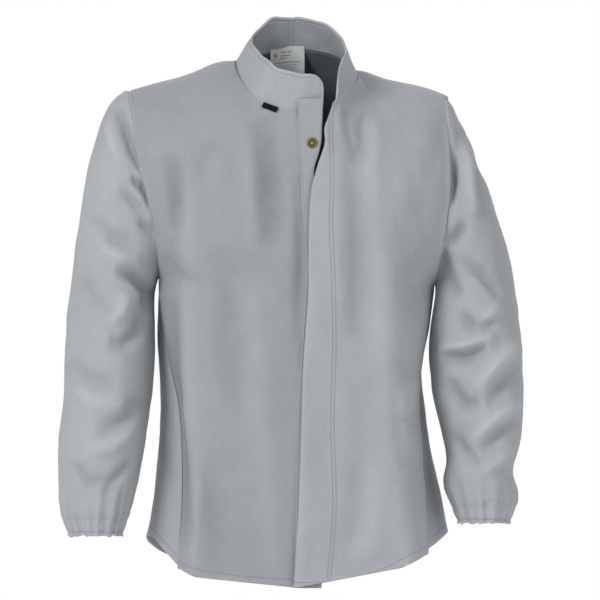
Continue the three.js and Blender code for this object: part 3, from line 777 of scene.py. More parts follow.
class Shader:
    """A material being built: its nodes, and the surface that they feed."""

    def __init__(self, name, **settings):
        self.material = bpy.data.materials.new(name)
        self.material.use_nodes = True
        self.nodes = self.material.node_tree.nodes
        self.links = self.material.node_tree.links
        self.surface = self.nodes["Principled BSDF"]
        for socket, value in settings.items():
            self.surface.inputs[socket.replace("_", " ")].default_value = value
        coordinates = self.nodes.new("ShaderNodeTexCoord")
        self.place = coordinates.outputs["Object"]
        self.uv = coordinates.outputs["UV"]

    def node(self, kind, settings, inputs, output=0):
        """Any node: its type, its settings, and the values or links of its sockets."""
        node = self.nodes.new(kind)
        for key, value in settings.items():
            if key == "stops":
                ramp = node.color_ramp
                for i, (at, colour) in enumerate(value):
                    stop = ramp.elements[i] if i < 2 else ramp.elements.new(at)
                    stop.position, stop.color = at, (*colour, 1)
            else:
                setattr(node, key, value)
        for key, value in inputs.items():
            self.set(node.inputs[key], value)
        return Value(self, node.outputs[output])

    def set(self, socket, value):
        if isinstance(value, Value):
            self.links.new(value.socket, socket)
        elif isinstance(value, bpy.types.NodeSocket):
            self.links.new(value, socket)
        else:
            socket.default_value = value

    def noise(self, scale, detail=3.0, roughness=0.55, where=None, distortion=0.0):
        return self.node(
            "ShaderNodeTexNoise",
            {},
            {
                "Vector": where or self.place,
                "Scale": scale,
                "Detail": detail,
                "Roughness": roughness,
                "Distortion": distortion,
            },
            "Fac",
        )

    def mapped(self, source, scale=(1, 1, 1), turn=(0, 0, 0)):
        return self.node(
            "ShaderNodeMapping", {}, {"Vector": source, "Scale": scale, "Rotation": turn}, "Vector"
        )

    def split(self, source):
        node = self.nodes.new("ShaderNodeSeparateXYZ")
        self.set(node.inputs[0], source)
        return [Value(self, node.outputs[i]) for i in range(3)]

    def mark(self, name):
        """A number kept on the piece's vertices."""
        return self.node("ShaderNodeAttribute", {"attribute_name": name}, {}, "Fac")

    def mix(self, share, a, b):
        """a where share is 0, b where it is 1, for two colours."""
        node = self.nodes.new("ShaderNodeMix")
        node.data_type = "RGBA"
        self.set(node.inputs["Factor"], share)
        colours = [s for s in node.inputs if s.type == "RGBA"]
        for socket, colour in zip(colours, (a, b)):
            self.set(socket, (*colour, 1) if isinstance(colour, tuple) else colour)
        return Value(self, [s for s in node.outputs if s.type == "RGBA"][0])

    def scaled(self, colour, share):
        """A colour made lighter or darker by a number."""
        return self.node(
            "ShaderNodeVectorMath", {"operation": "SCALE"}, {0: colour, "Scale": share}, "Vector"
        )

    def bump(self, height, distance, strength=1.0, under=None):
        inputs = {"Height": height, "Distance": distance, "Strength": strength}
        if under is not None:
            inputs["Normal"] = under
        return self.node("ShaderNodeBump", {}, inputs, "Normal")

    def feed(self, **links):
        for socket, value in links.items():
            self.set(self.surface.inputs[socket.replace("_", " ")], value)
        return self.material


def suede(name, colour, grooves=()):
    """Split leather: napped, a little blotchy, paler where rubbed, with painted shade in its
    creases and painted light on their ridges, and grooved by stitching, with painted shade along
    the grooves.

    grooves are ("u" or "v", place in mm) lines on the piece's own map.
    """
    sh = Shader(name, Roughness=0.95, Sheen_Weight=0.18, Sheen_Roughness=0.55)
    sh.surface.inputs["Specular IOR Level"].default_value = 0.18
    u, v, _ = sh.split(sh.uv)
    cloud = sh.noise(7.0, 3.0, 0.5)
    patch = sh.noise(26.0, 4.0, 0.6, distortion=0.6)
    brushed = sh.noise(90.0, 3.0, 0.6, where=sh.mapped(sh.place, (1.6, 1.0, 0.5)))
    nap = sh.noise(900.0, 4.0, 0.75)
    fibre = sh.noise(2600.0, 2.0, 0.6, where=sh.mapped(sh.place, (1.0, 1.0, 0.45)))
    # The crease height, read below as painted shade in the creases and painted light on the ridges
    fold = sh.mark("fold")
    rub = sh.mark("rub")
    groove = None
    for axis, place in grooves:
        line = (u if axis == "u" else v).line(place * MM, 1.5 * MM)
        groove = line if groove is None else groove.at_least(line)
    tone = (
        1.0
        + (cloud - 0.5) * 0.13
        + (patch - 0.5) * 0.15
        + (brushed - 0.5) * 0.10
        + (nap - 0.5) * 0.22
        # painted shade in the creases, painted light on the ridges
        + fold * 0.02
        + rub * 0.10
    )
    # painted shade along the stitch grooves, on top of their bump
    if groove is not None:
        tone = tone - groove * 0.10
    warmer = tuple(c * k for c, k in zip(colour, (1.012, 1.0, 0.985)))
    warm = sh.mix(patch, colour, warmer)
    height = (nap - 0.5) * 0.6 + (fibre - 0.5) * 0.5 + (brushed - 0.5) * 0.5
    normal = sh.bump(height, 0.0006, 0.55)
    if groove is not None:
        normal = sh.bump(1.0 - groove, 0.0006, 0.9, under=normal)
    return sh.feed(
        Base_Color=sh.scaled(warm, tone),
        Roughness=(0.9 + (nap - 0.5) * 0.16).at_most(1.0),
        Normal=normal,
    )


def woven(name, colour, pitch, contrast=0.35):
    """Plain woven cloth on the piece's own map, its threads pitch mm apart."""
    sh = Shader(name, Roughness=0.95)
    sh.surface.inputs["Specular IOR Level"].default_value = 0.1
    u, v, _ = sh.split(sh.uv)
    warp = (u * (math.pi / (pitch * MM))).sine()
    weft = (v * (math.pi / (pitch * MM))).sine()
    over = (warp * weft).above(0.0)
    thread = over * abs(warp) + (1.0 - over) * abs(weft)
    slub = sh.noise(400.0, 3.0, 0.6)
    worn = sh.noise(22.0, 3.0, 0.5)
    tone = 1.0 + (thread - 0.6) * contrast + (slub - 0.5) * 0.25 + (worn - 0.5) * 0.2
    return sh.feed(
        Base_Color=sh.scaled(sh.mix(0.0, colour, colour), tone),
        Normal=sh.bump(thread + slub * 0.4, 0.0003, 0.7),
    )


def elastic_band(name, colour):
    sh = Shader(name, Roughness=0.85, Sheen_Weight=0.1)
    u, v, _ = sh.split(sh.uv)
    rib = abs((v * (math.pi / 1.1 / MM)).sine())
    cross = abs((u * (math.pi / 0.8 / MM)).sine())
    slub = sh.noise(500.0, 3.0, 0.6)
    tone = 0.85 + rib * 0.22 + cross * 0.08 + (slub - 0.5) * 0.2
    return sh.feed(
        Base_Color=sh.scaled(sh.mix(0.0, colour, colour), tone),
        Normal=sh.bump(rib + cross * 0.5, 0.0003, 0.8),
    )


def label_tape(name, colour, ink):
    """White woven tape with plain grey marks: a few bars and a small block."""
    sh = Shader(name, Roughness=0.75)
    u, v, _ = sh.split(sh.uv)

    def bar(left, right, top, bottom):
        inside_u = u.above(left * MM) * (1.0 - u.above(right * MM))
        inside_v = v.above(top * MM) * (1.0 - v.above(bottom * MM))
        return inside_u * inside_v

    speck = sh.noise(700.0, 2.0, 0.5).above(0.5)
    marks_on = bar(5, 9, 9, 14)
    printed = [(14, 20, 7, 9), (22, 27, 7, 9), (13, 26, 12, 13.5)]
    printed += [(13, 22, 15.5, 17), (5, 40, 22, 23.2)]
    for area in printed:
        marks_on = marks_on + bar(*area)
    for area in ((5, 38, 26, 27), (5, 33, 29.5, 30.5), (5, 36, 33, 34)):
        marks_on = marks_on + bar(*area) * speck
    weft = abs((v * (math.pi / 0.5 / MM)).sine()) * 0.06
    weave = weft + abs((u * (math.pi / 0.7 / MM)).sine()) * 0.05
    blot = sh.noise(60.0, 3.0, 0.5)
    tone = 0.92 + weave + (blot - 0.5) * 0.15
    return sh.feed(
        Base_Color=sh.scaled(sh.mix(marks_on.at_most(1.0) * 0.75, colour, ink), tone),
        Normal=sh.bump(weave, 0.0002, 0.6),
    )


def brass(name, colour):
    """Aged brass: duller and browner in patches, brighter where it rubs."""
    sh = Shader(name, Metallic=1.0, Roughness=0.5)
    stain = sh.noise(900.0, 4.0, 0.6)
    scratch = sh.noise(2600.0, 2.0, 0.5, where=sh.mapped(sh.place, (1.0, 0.2, 1.0)))
    rub = sh.mark("rub")
    tone = 0.75 + stain * 0.4 + rub * 0.5
    dull = tuple(c * 0.55 for c in colour)
    return sh.feed(
        Base_Color=sh.scaled(sh.mix(stain.ramp(0.42, 0.62), colour, dull), tone),
        Roughness=0.42 + stain * 0.25,
        Normal=sh.bump(scratch, 0.00005, 0.4),
    )


def thread(name, colour):
    sh = Shader(name, Roughness=0.6, Sheen_Weight=0.2)
    twist = sh.noise(3000.0, 2.0, 0.5)
    return sh.feed(
        Base_Color=sh.scaled(sh.mix(0.0, colour, colour), 0.8 + twist * 0.4),
        Normal=sh.bump(twist, 0.0001, 0.5),
    )


# ----------------------------------------------------------------- settings


def swatch(name, description, default):
    return FloatVectorProperty(
        name=name, description=description, subtype="COLOR", size=3, min=0, max=1, default=default
    )


def number(name, description, default, **limits):
    kind = IntProperty if isinstance(default, int) else FloatProperty
    return kind(name=name, description=description, default=default, **limits)


class JacketLeather(bpy.types.PropertyGroup):
    colour: swatch("Leather", "Colour of the split leather", (0.395, 0.418, 0.435))
    ply: number("Ply", "Thickness of one ply of leather, in mm", 1.6, min=0.8, max=3)
    crease: number("Creases", "How deep the creases are", 1.0, min=0, max=2, subtype="FACTOR")


class JacketTrim(bpy.types.PropertyGroup):
    lining: swatch("Lining", "Colour of the back's lining", (0.135, 0.147, 0.157))
    brass: swatch("Snaps", "Colour of the press studs", (0.30, 0.235, 0.105))
    thread: swatch("Thread", "Colour of the sewing thread", (0.40, 0.42, 0.435))
    stitch: number("Stitch", "Distance from stitch to stitch, in mm", 3.6, min=2, max=8)
    pleats: number("Pleats", "Gathers round each cuff", 15, min=6, max=40)


class JacketStage(bpy.types.PropertyGroup):
    distance: number("Camera", "Distance from the jacket's front", 14.0, min=2, unit="LENGTH")
    ambient: number("Ambient", "Strength of the light from all round", 0.40, min=0, max=3)
    width: number("Frame", "Width of the view at the jacket's front", 0.84, min=0.3, unit="LENGTH")


def leather():
    return bpy.context.scene.jacket_leather


def trim():
    return bpy.context.scene.jacket_trim


def finish_once(name, make, *values):
    found = bpy.data.materials.get(name)
    return found or make(name, *values)


def suede_finish(name="suede", grooves=(), skin_tone_and_painted_light=1.0):
    """The leather, a shade lighter or darker piece by piece: partly as one skin is from the next,
    partly painted light and shade to match how brightly each piece is lit.
    """
    return finish_once(name, suede, tuple(c * skin_tone_and_painted_light for c in leather().colour), grooves)


def thread_finish():
    return finish_once("sewing_thread", thread, tuple(trim().thread))


def across_hinge(name, side):
    """The points 30 mm either side of a front's fold line, where its leather bends."""
    joint = next(j for j in frame["joints"] if j["name"] == name)
    top = Vector(joint.get("pos_m") or joint["pos"])
    axis = Vector(joint["axis"]).normalized()
    way = axis.cross(Vector((0, 1, 0))).normalized()
    if way.x * side > 0:
        way.negate()
    return top - way * 0.03, top + way * 0.03


def bend_front(piece, side):
    if side is RIGHT:
        start, end = across_hinge("right_front_open", -1)
        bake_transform(piece)
        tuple(start)
        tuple(end)
    else:
        start, end = across_hinge("left_front_open", 1)
        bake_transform(piece)
        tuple(start)
        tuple(end)


# ----------------------------------------------------------------- pieces

RIGHT_FRONT_FOLDS = [
    Fold(-3.2, 14, (-172, -125), (-173, -180), (-168, -240), lean=0.3),
    Fold(2.0, 16, (-150, -130), (-152, -220), (-146, -330)),
    Fold(-3.0, 17, (-42, -70), (-38, -130), (-29, -200), (-26, -260), lean=-0.3),
    Fold(1.6, 14, (-62, -90), (-60, -180), (-54, -270)),
    Fold(-2.2, 9, (8, -150), (9, -220), (10, -300), (5, -400)),
    Fold(-2.0, 22, (-98, -260), (-92, -380), (-80, -500)),
    Fold(1.8, 24, (-60, -300), (-50, -450), (-52, -600)),
    Fold(-4.5, 13, (-176, -330), (-172, -440), (-160, -560), (-158, -680), lean=0.4),
    Fold(2.6, 14, (-153, -300), (-152, -450), (-140, -600), (-143, -720), lean=-0.3),
    Fold(-1.6, 16, (-120, -560), (-110, -640), (-108, -730)),
    Fold(1.4, 20, (-30, -520), (-34, -640), (-28, -735)),
    Fold(-1.2, 12, (-110, -100), (-130, -140), (-150, -200)),
    Fold(-1.2, 9, (-185, -270), (-160, -300), (-130, -315)),
]
LEFT_FRONT_FOLDS = [
    Fold(-4.2, 13, (66, -66), (86, -82), (92, -110), (88, -150), lean=0.3),
    Fold(-2.4, 8, (50, -88), (56, -104), (60, -135)),
    Fold(2.8, 14, (104, -70), (110, -110), (108, -150), (112, -210)),
    Fold(-3.6, 15, (82, -165), (88, -200), (90, -260), (91, -320), (86, -390)),
    Fold(2.0, 18, (125, -230), (126, -330), (118, -430)),
    Fold(-1.8, 22, (150, -180), (158, -260), (160, -350)),
    Fold(3.0, 13, (168, -440), (160, -458), (149, -500), lean=0.4),
    Fold(2.4, 11, (152, -500), (160, -530), (172, -566)),
    Fold(-2.0, 12, (140, -470), (146, -520), (158, -570)),
    Fold(3.0, 16, (120, -560), (116, -610), (107, -670), (86, -706)),
    Fold(-2.2, 16, (84, -560), (86, -620), (78, -680)),
    Fold(-1.6, 18, (30, -420), (34, -520), (30, -640)),
    Fold(-1.4, 14, (170, -150), (180, -220), (184, -290)),
]


def crumple(points, seed, height=1.0):
    crease = leather().crease * height
    return crease * (
        waves(points, seed, 95, 160, 5.5)
        + waves(points, seed + 11, 38, 60, 2.4)
        + waves(points, seed + 23, 17, 22, 0.8)
    )


def folds_on(points, folds, deep=1.6, tight=1.0):
    where = points[:, [0, 2]]
    total = np.zeros(len(points))
    for fold in folds:
        total += fold(where, tight)
    return total * leather().crease * deep


def fly_firmness(points):
    """The lowest a left front may dip: hardly at all where the studs lie under it."""
    from_edge = points[:, 0] - np.array([fly_edge(z) for z in points[:, 2]])
    return -0.4 - 8 * np.clip((from_edge - 44) / 20, 0, 1)


def seam_quiet(s, t):
    """How far folds show: not at all in the seams at a panel's sides and top."""
    return np.clip(np.minimum(s, 1 - s) * 30, 0, 1) * np.clip(t * 40, 0, 1)


def near_edge(s, t, wide, high):
    """How far each vertex is from its panel's nearest edge."""
    return np.minimum(np.minimum(s, 1 - s) * wide, np.minimum(t, 1 - t) * high)


def front_piece(name, side, inner, inner_share, folds, seed, finish, uv):
    """A front: its inner stretch, then round to the armhole and the side seam."""
    wide = FRONT_WIDE
    columns = marks(wide, 6.0)
    rows = marks(FRONT_HIGH, 6.0, end=False)

    def surface(s, t):
        t = t**ROW_SPREAD
        if s < inner_share:
            return inner(s / inner_share, t)
        return front_side(side, (s - inner_share) / (1 - inner_share), t)

    sheet = Sheet(columns, rows)
    sheet.place(surface)
    sheet.face_out(BODY_MIDDLE)
    sheet.soften(10, lambda s, t: abs(s - inner_share) < 0.16)
    sheet.soften(2)
    points = sheet.points()
    s, t = np.array(sheet.s), np.array(sheet.t)
    creases = folds_on(points, folds, 3.2 if side is RIGHT else 1.7)
    quiet = seam_quiet(s, t)
    roll = edge_roll((1 - s) * wide, 6, 1.6) + edge_roll(t * FRONT_HIGH, 4, 0.6)
    heights = (creases + crumple(points, seed)) * quiet
    if side is LEFT:
        heights = np.maximum(heights, fly_firmness(points))
        roll += edge_roll(s * wide, 3.2, 1.9)
    sheet.raise_by(heights + roll)
    # the crease heights, kept for the leather's painted shade in the creases and painted light on
    # the ridges
    sheet.note(sheet.fold, creases)
    sheet.note(sheet.rub, np.exp(-near_edge(s, t, wide, FRONT_HIGH) / 4))
    sheet.set_uv(uv)
    piece = sheet.finish(name, finish, leather().ply)
    return piece


class JACKET_OT_right_front(bpy.types.Operator):
    """Right front, from the placket's seam round to the side seam"""

    bl_idname = "jacket.right_front"
    bl_label = "Right Front"

    def execute(self, context):
        piece = front_piece(
            "right_front", RIGHT, right_front, FRONT_INNER, RIGHT_FRONT_FOLDS, 1,
            # 0.86: a darker copy of the leather, partly a darker skin and partly painted shade
            suede_finish("suede_right_front", (("v", 0),), 0.86),
            lambda s, t, p: (p.x - placket_seam(p.z), p.z - RIGHT.hem(abs(p.x)) - HEM_STITCH),
        )
        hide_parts("right_front_panel", "right_front_side")
        bend_front(piece, RIGHT)
        return {"FINISHED"}


class JACKET_OT_left_front(bpy.types.Operator):
    """Left front, from the fly's edge round to the side seam"""

    bl_idname = "jacket.left_front"
    bl_label = "Left Front"

    def execute(self, context):
        piece = front_piece(
            "left_front", LEFT, left_front, FRONT_INNER, LEFT_FRONT_FOLDS, 2,
            suede_finish("suede_left_front", (("u", 0), ("u", TWIN_ROW), ("v", 0))),
            lambda s, t, p: (p.x - fly_stitch(p.z), p.z - LEFT.hem(p.x) - HEM_STITCH),
        )
        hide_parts("left_front_panel", "left_front_side")
        bend_front(piece, LEFT)
        tree = surface_tree(piece)
        finish = thread_finish()
        heights = [lerp(-62, -722, i / 60) for i in range(61)]
        lines = [
            [(fly_stitch(z) + shift, fly_face(z), z) for z in heights] for shift in (0, TWIN_ROW)
        ]
        sewn = stitches("fly_stitches", lines, tree, finish, trim().stitch)
        bend_front(sewn, LEFT)
        return {"FINISHED"}


class JACKET_OT_placket(bpy.types.Operator):
    """The placket strip under the fly, with its row of studs"""

    bl_idname = "jacket.placket"
    bl_label = "Placket"

    def execute(self, context):
        sheet = Sheet(marks(PLACKET_WIDTH, 4.5), marks(PLACKET_HIGH, 7.0))
        sheet.place(placket)
        sheet.face_out(BODY_MIDDLE)
        points = sheet.points()
        s, t = np.array(sheet.s), np.array(sheet.t)
        roll = edge_roll(s * PLACKET_WIDTH, 3, 1.0) + edge_roll((1 - s) * PLACKET_WIDTH, 3, 1.4)
        roll += edge_roll(t * PLACKET_HIGH, 3, 1.2)
        sheet.raise_by(roll + 2.0 + waves(points, 4, 40, 60, 1.6) * np.clip(t * 10, 0, 1))
        sheet.note(sheet.rub, np.exp(-np.minimum(s, 1 - s) * PLACKET_WIDTH / 3))
        sheet.set_uv(lambda s, t, p: (p.x - placket_seam(p.z), p.z + 64))
        # 0.93: a darker copy of the leather, partly a darker skin and partly painted shade
        piece = sheet.finish("placket", suede_finish("suede_placket", (("u", 3),), 0.93), 2.4)
        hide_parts("right_placket")
        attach(piece, "right_front")
        heights = [lerp(-54, -725, i / 60) for i in range(61)]
        lines = [
            [(placket_seam(z) + 3, fly_face(z) + STACK, z) for z in heights],
            [(placket_edge(z) - 3.5, fly_face(z) + STACK, z) for z in heights],
            [(lerp(7, 36, i / 6), PLACKET_TOP_Y, -54) for i in range(7)],
        ]
        tree = surface_tree(piece)
        sewn = stitches("placket_stitches", lines, tree, thread_finish(), trim().stitch)
        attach(sewn, "right_front")
        return {"FINISHED"}


BACK_FOLDS = [
    Fold(-3.5, 24, (-60, -60), (-40, -200), (-50, -420)),
    Fold(-3.5, 24, (70, -60), (52, -220), (60, -440)),
    Fold(3.0, 30, (0, -120), (4, -350), (0, -690)),
    Fold(-4.0, 16, (-170, -220), (-140, -280), (-100, -320), lean=0.4),
    Fold(-4.0, 16, (180, -230), (150, -290), (110, -330), lean=-0.4),
    Fold(-3.0, 18, (-120, -430), (-110, -560), (-100, -690)),
    Fold(3.0, 22, (-80, -480), (-76, -600), (-70, -700)),
    Fold(-3.0, 18, (125, -440), (112, -560), (108, -690)),
    Fold(2.6, 22, (86, -480), (80, -600), (78, -700)),
    Fold(-2.4, 12, (-150, -340), (-90, -390), (-20, -400)),
    Fold(-2.2, 12, (150, -360), (90, -400), (30, -414)),
]


class JACKET_OT_back(bpy.types.Operator):
    """Back panel and its dark lining"""

    bl_idname = "jacket.back"
    bl_label = "Back"

    def execute(self, context):
        wide, high = BACK_WIDE, BACK_HIGH
        sheet = Sheet(marks(wide, 7.0), marks(high, 7.0, end=False))
        sheet.place(lambda s, t: back(2 * s - 1, t**ROW_SPREAD))
        sheet.face_out(BODY_MIDDLE)
        sheet.soften(3)
        points = sheet.points()
        s, t = np.array(sheet.s), np.array(sheet.t)
        creases = folds_on(points, BACK_FOLDS, 1.7)
        quiet = seam_quiet(s, t)
        roll = edge_roll(np.minimum(s, 1 - s) * wide, 6, 1.6) + edge_roll(t * high, 4, 0.6)
        sheet.raise_by((creases + crumple(points, 3)) * quiet + roll)
        # the crease heights, kept for the leather's painted shade in the creases and painted light
        # on the ridges
        sheet.note(sheet.fold, creases)
        sheet.note(sheet.rub, np.exp(-near_edge(s, t, wide, high) / 4))
        sheet.set_uv(lambda s, t, p: (p.x, (1 - t) * high - HEM_STITCH))
        piece = sheet.finish("back", suede_finish("suede_back", (("v", 0),)), leather().ply)
        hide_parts("back_panel")
        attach(piece, "body")

        lining = Sheet(marks(LINING_WIDE, 12, False, False), marks(LINING_HIGH, 12, False, False))
        lining.place(lambda s, t: back((2 * s - 1) * 0.9, t * 0.67))
        lining.face_out(BODY_MIDDLE)
        inside = lining.points()
        panel = folds_on(inside, BACK_FOLDS, 1.7) + crumple(inside, 3)
        lining.raise_by(np.minimum(panel, 1.0) - 4.5 - np.abs(waves(inside, 9, 60, 90, 1.5)))
        lining.set_uv(lambda s, t, p: ((s - 0.5) * LINING_WIDE, t * LINING_HIGH))
        dark = finish_once("lining_cloth", woven, tuple(trim().lining), 0.9)
        cloth = lining.finish("back_lining_cloth", dark, 0.8)
        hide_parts("back_lining")
        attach(cloth, "body")
        return {"FINISHED"}


SLEEVE_FOLDS = {
    "right": [
        Fold(-4.0, 8, (-256, -56), (-243, -90), (-231, -123), (-214, -155), lean=0.4),
        Fold(2.6, 10, (-266, -76), (-256, -110), (-244, -145)),
        Fold(-5.0, 6, (-232, -160), (-210, -178), (-206, -196)),
        Fold(2.4, 8, (-234, -178), (-218, -192), (-207, -206)),
        Fold(-3.4, 9, (-244, -178), (-224, -196), (-204, -212)),
        Fold(-3.0, 8, (-222, -222), (-206, -232), (-194, -238)),
        Fold(-3.2, 13, (-288, -220), (-259, -246), (-224, -256), lean=0.3),
        Fold(2.4, 12, (-280, -250), (-250, -272), (-215, -276)),
        Fold(-5.0, 11, (-252, -292), (-224, -304), (-208, -322), (-213, -350), lean=0.3),
        Fold(-3.6, 12, (-214, -345), (-222, -380), (-240, -396), (-262, -392)),
        Fold(3.0, 13, (-236, -322), (-244, -350), (-262, -366)),
        Fold(-2.2, 14, (-300, -300), (-286, -330), (-258, -352)),
        Fold(-2.4, 14, (-318, -420), (-290, -446), (-250, -452)),
        Fold(2.2, 14, (-312, -452), (-280, -478), (-236, -482)),
        Fold(-2.6, 14, (-214, -470), (-240, -505), (-280, -520)),
        Fold(2.0, 12, (-222, -510), (-254, -540), (-300, -548)),
        Fold(-3.0, 10, (-316, -560), (-290, -588), (-256, -590)),
        Fold(-2.6, 9, (-230, -560), (-250, -585), (-270, -612)),
    ],
    "left": [
        Fold(-5.0, 8, (216, -120), (226, -146), (226, -170), (218, -200), lean=-0.3),
        Fold(3.4, 10, (236, -104), (242, -140), (245, -170), (253, -216)),
        Fold(-1.6, 9, (254, -130), (258, -170), (268, -220)),
        Fold(-4.6, 9, (212, -254), (224, -242), (240, -224)),
        Fold(-3.8, 14, (206, -262), (212, -300), (226, -330)),
        Fold(-3.6, 10, (224, -276), (262, -296), (290, -330), lean=0.3),
        Fold(3.0, 10, (290, -336), (268, -360), (246, -384)),
        Fold(-4.4, 11, (230, -350), (250, -372), (282, -366)),
        Fold(3.4, 10, (282, -382), (244, -394), (200, -404), lean=0.3),
        Fold(-4.8, 11, (206, -412), (238, -414), (270, -398), lean=-0.3),
        Fold(3.6, 12, (318, -390), (286, -420), (252, -462)),
        Fold(-4.4, 12, (212, -444), (234, -480), (262, -478)),
        Fold(-3.2, 12, (320, -424), (296, -450), (270, -484)),
        Fold(3.4, 11, (320, -474), (282, -498), (244, -536)),
        Fold(-3.2, 10, (318, -500), (288, -520), (262, -548)),
        Fold(-3.0, 9, (222, -520), (240, -548), (262, -566)),
        Fold(2.4, 9, (308, -540), (284, -560), (258, -580)),
    ],
}
# The same sleeves from behind: rings of creases above and below the elbow.
BACK_SLEEVE_FOLDS = [
    Fold(-4.0, 12, (196, -250), (230, -290), (280, -300), lean=0.3),
    Fold(3.0, 13, (204, -300), (240, -330), (300, -330)),
    Fold(-4.5, 12, (206, -340), (250, -372), (316, -350), lean=-0.3),
    Fold(3.2, 12, (204, -380), (250, -402), (312, -388)),
    Fold(-4.2, 12, (208, -420), (256, -434), (314, -414)),
    Fold(-3.0, 14, (216, -500), (260, -520), (310, -490)),
    Fold(2.6, 12, (220, -540), (262, -556), (306, -540)),
    Fold(-3.0, 11, (226, -575), (262, -590), (300, -572)),
    Fold(-3.0, 14, (250, -90), (262, -150), (240, -220)),
]


def pleats_round(angle, v, top, count, seed):
    """Gathers drawn in towards the cuff, each a little different."""
    near = smooth(v, top - 0.085, top)
    x, y = math.cos(angle), math.sin(angle)
    shift = 0.9 * noise.noise(Vector((x * 1.7, y * 1.7, seed)))
    size = 0.75 + 0.9 * noise.noise(Vector((x * 2.3, y * 2.3, seed + 9)))
    return near * size * math.cos(count * angle + shift * 3)


def gathers(arm, angles, count, seed):
    """The gathers at their fullest, for each angle round a cuff."""
    top = arm.cuff_top
    return np.array([pleats_round(a, top, top, count, seed) for a in angles])


class JACKET_OT_sleeves(bpy.types.Operator):
    """Sleeves, set in at the armholes"""

    bl_idname = "jacket.sleeves"
    bl_label = "Sleeves"

    def execute(self, context):
        for name, arm in (("right", RIGHT_ARM), ("left", LEFT_ARM)):
            out = arm.side.sign
            long = SLEEVE_LONG
            rows = [r * arm.cuff_top for r in marks(long, 6.0)]
            sheet = Tube(76, rows)
            sheet.place(arm)
            sheet.face_out(arm(0, 0.5).lerp(arm(math.pi, 0.5), 0.5))
            sheet.soften(3, lambda s, t: t > 0.03)
            points = sheet.points()
            angle, v = np.array(sheet.s), np.array(sheet.t)
            centre_y = np.array([arm.middle(min(p[2], UPPER_RING)) for p in points])
            facing = np.clip((centre_y - points[:, 1]) / 30 + 0.35, 0, 1)
            behind = points * (out, 1, 1)
            creases = folds_on(points, SLEEVE_FOLDS[name], 2.7, 0.78) * facing
            creases += folds_on(behind, BACK_SLEEVE_FOLDS, 2.2, 0.85) * (1 - facing)
            along = v / arm.cuff_top * long
            quiet = np.clip((along - 2) / 8, 0, 1) * np.clip((long - along) / 20, 0.35, 1)
            gather = 2.8 * np.array(
                [pleats_round(a, b, arm.cuff_top, trim().pleats, out) for a, b in zip(angle, v)]
            )
            crown = np.array([smooth(math.cos(a), 0.1, 0.9) for a in angle])
            puff = 2.2 * np.exp(-(((along - 16) / 10) ** 2)) * crown
            roll = edge_roll(along, 6, 1.8) + edge_roll(long - along, 4, 0.4)
            sheet.raise_by((creases + crumple(points, 5 + out)) * quiet + gather + puff + roll)
            # the crease heights, kept for the leather's painted shade in the creases and painted
            # light on the ridges
            sheet.note(sheet.fold, creases)
            sheet.note(sheet.rub, np.exp(-along / 5) * 0.8)
            sheet.set_uv(lambda s, t, p: (s * 70, t / arm.cuff_top * long))
            # 1.03: a lighter copy of the leather, partly a paler skin and partly painted light
            skin = suede_finish("suede_sleeve", (("v", 9),), 1.03)
            piece = sheet.finish(name + "_sleeve_leather", skin, leather().ply)
            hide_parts(name + "_sleeve")
            underarm = arm.side.underarm
            start = Vector((out * arm.side.armhole_out(underarm), 0, underarm)) * MM
            name + "_arm"
            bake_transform(piece)
            name + "_front"
        return {"FINISHED"}


class JACKET_OT_cuffs(bpy.types.Operator):
    """Gathered cuffs, with the elastic inside them"""

    bl_idname = "jacket.cuffs"
    bl_label = "Cuffs"

    def execute(self, context):
        for name, arm in (("right", RIGHT_ARM), ("left", LEFT_ARM)):
            out = arm.side.sign
            rows = [i / 16 for i in range(17)]
            sheet = Tube(112, rows)
            sheet.place(lambda s, t: arm(s, lerp(arm.cuff_top - 0.004, 1, t)))
            sheet.face_out(arm(0, 1).lerp(arm(math.pi, 1), 0.5))
            t, angle = np.array(sheet.t), np.array(sheet.s)
            pleat = gathers(arm, angle, trim().pleats, out)
            fine = gathers(arm, angle, trim().pleats * 2 + 1, out + 4)
            channel = np.exp(-(((t - 0.62) / 0.16) ** 2))
            pinch = np.exp(-(((t - 0.36) / 0.07) ** 2)) + np.exp(-(((t - 0.86) / 0.05) ** 2))
            flare = np.clip((t - 0.88) / 0.12, 0, 1)
            sheet.raise_by(
                2.8 * pleat * (1 - 0.45 * channel)
                + 1.3 * fine * (0.4 + 0.6 * channel + flare)
                + 0.5 * channel
                - 0.7 * pinch
                + 1.6 * flare
                + edge_roll(t * 34, 4, 0.4)
            )
            for v, down, around in zip(sheet.verts, t, angle):
                ruffle = noise.noise(Vector((math.cos(around) * 5, math.sin(around) * 5, out * 3)))
                v.co.z += 4.5 * ruffle * smooth(down, 0.5, 1)
            sheet.note(sheet.rub, np.exp(-(1 - t) * 8) + 0.5 * channel)
            # the gathers' heights, kept for painted shade between the gathers and painted light on
            # their crests
            sheet.note(sheet.fold, pleat * 1.5)
            sheet.set_uv(lambda s, t, p: (s * 40, t * 32))
            cuff = sheet.finish(
                name + "_cuff_leather",
                suede_finish("suede_cuff", (("v", 27.5),)),
                leather().ply,
            )
            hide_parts(name + "_cuff")
            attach(cuff, name + "_arm")
            name + "_sleeve_leather"

            band = Tube(112, [i / 6 for i in range(7)])
            band.place(lambda s, t: arm(s, lerp(1 - 0.58 * 17 / 330, 1 - 0.58 * 3 / 330, t)))
            band.face_out(arm(0, 1).lerp(arm(math.pi, 1), 0.5))
            angle = np.array(band.s)
            pleat = gathers(arm, angle, trim().pleats, out)
            band.raise_by(-2.9 + 1.2 * pleat)
            band.set_uv(lambda s, t, p: (s * 40, t * 14))
            ribbed = finish_once("cuff_elastic", elastic_band, (0.30, 0.31, 0.32))
            elastic = band.finish(name + "_elastic", ribbed, 1.4)
            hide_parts(name + "_cuff_elastic")
            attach(elastic, name + "_arm")
            name + "_cuff_leather"
        return {"FINISHED"}


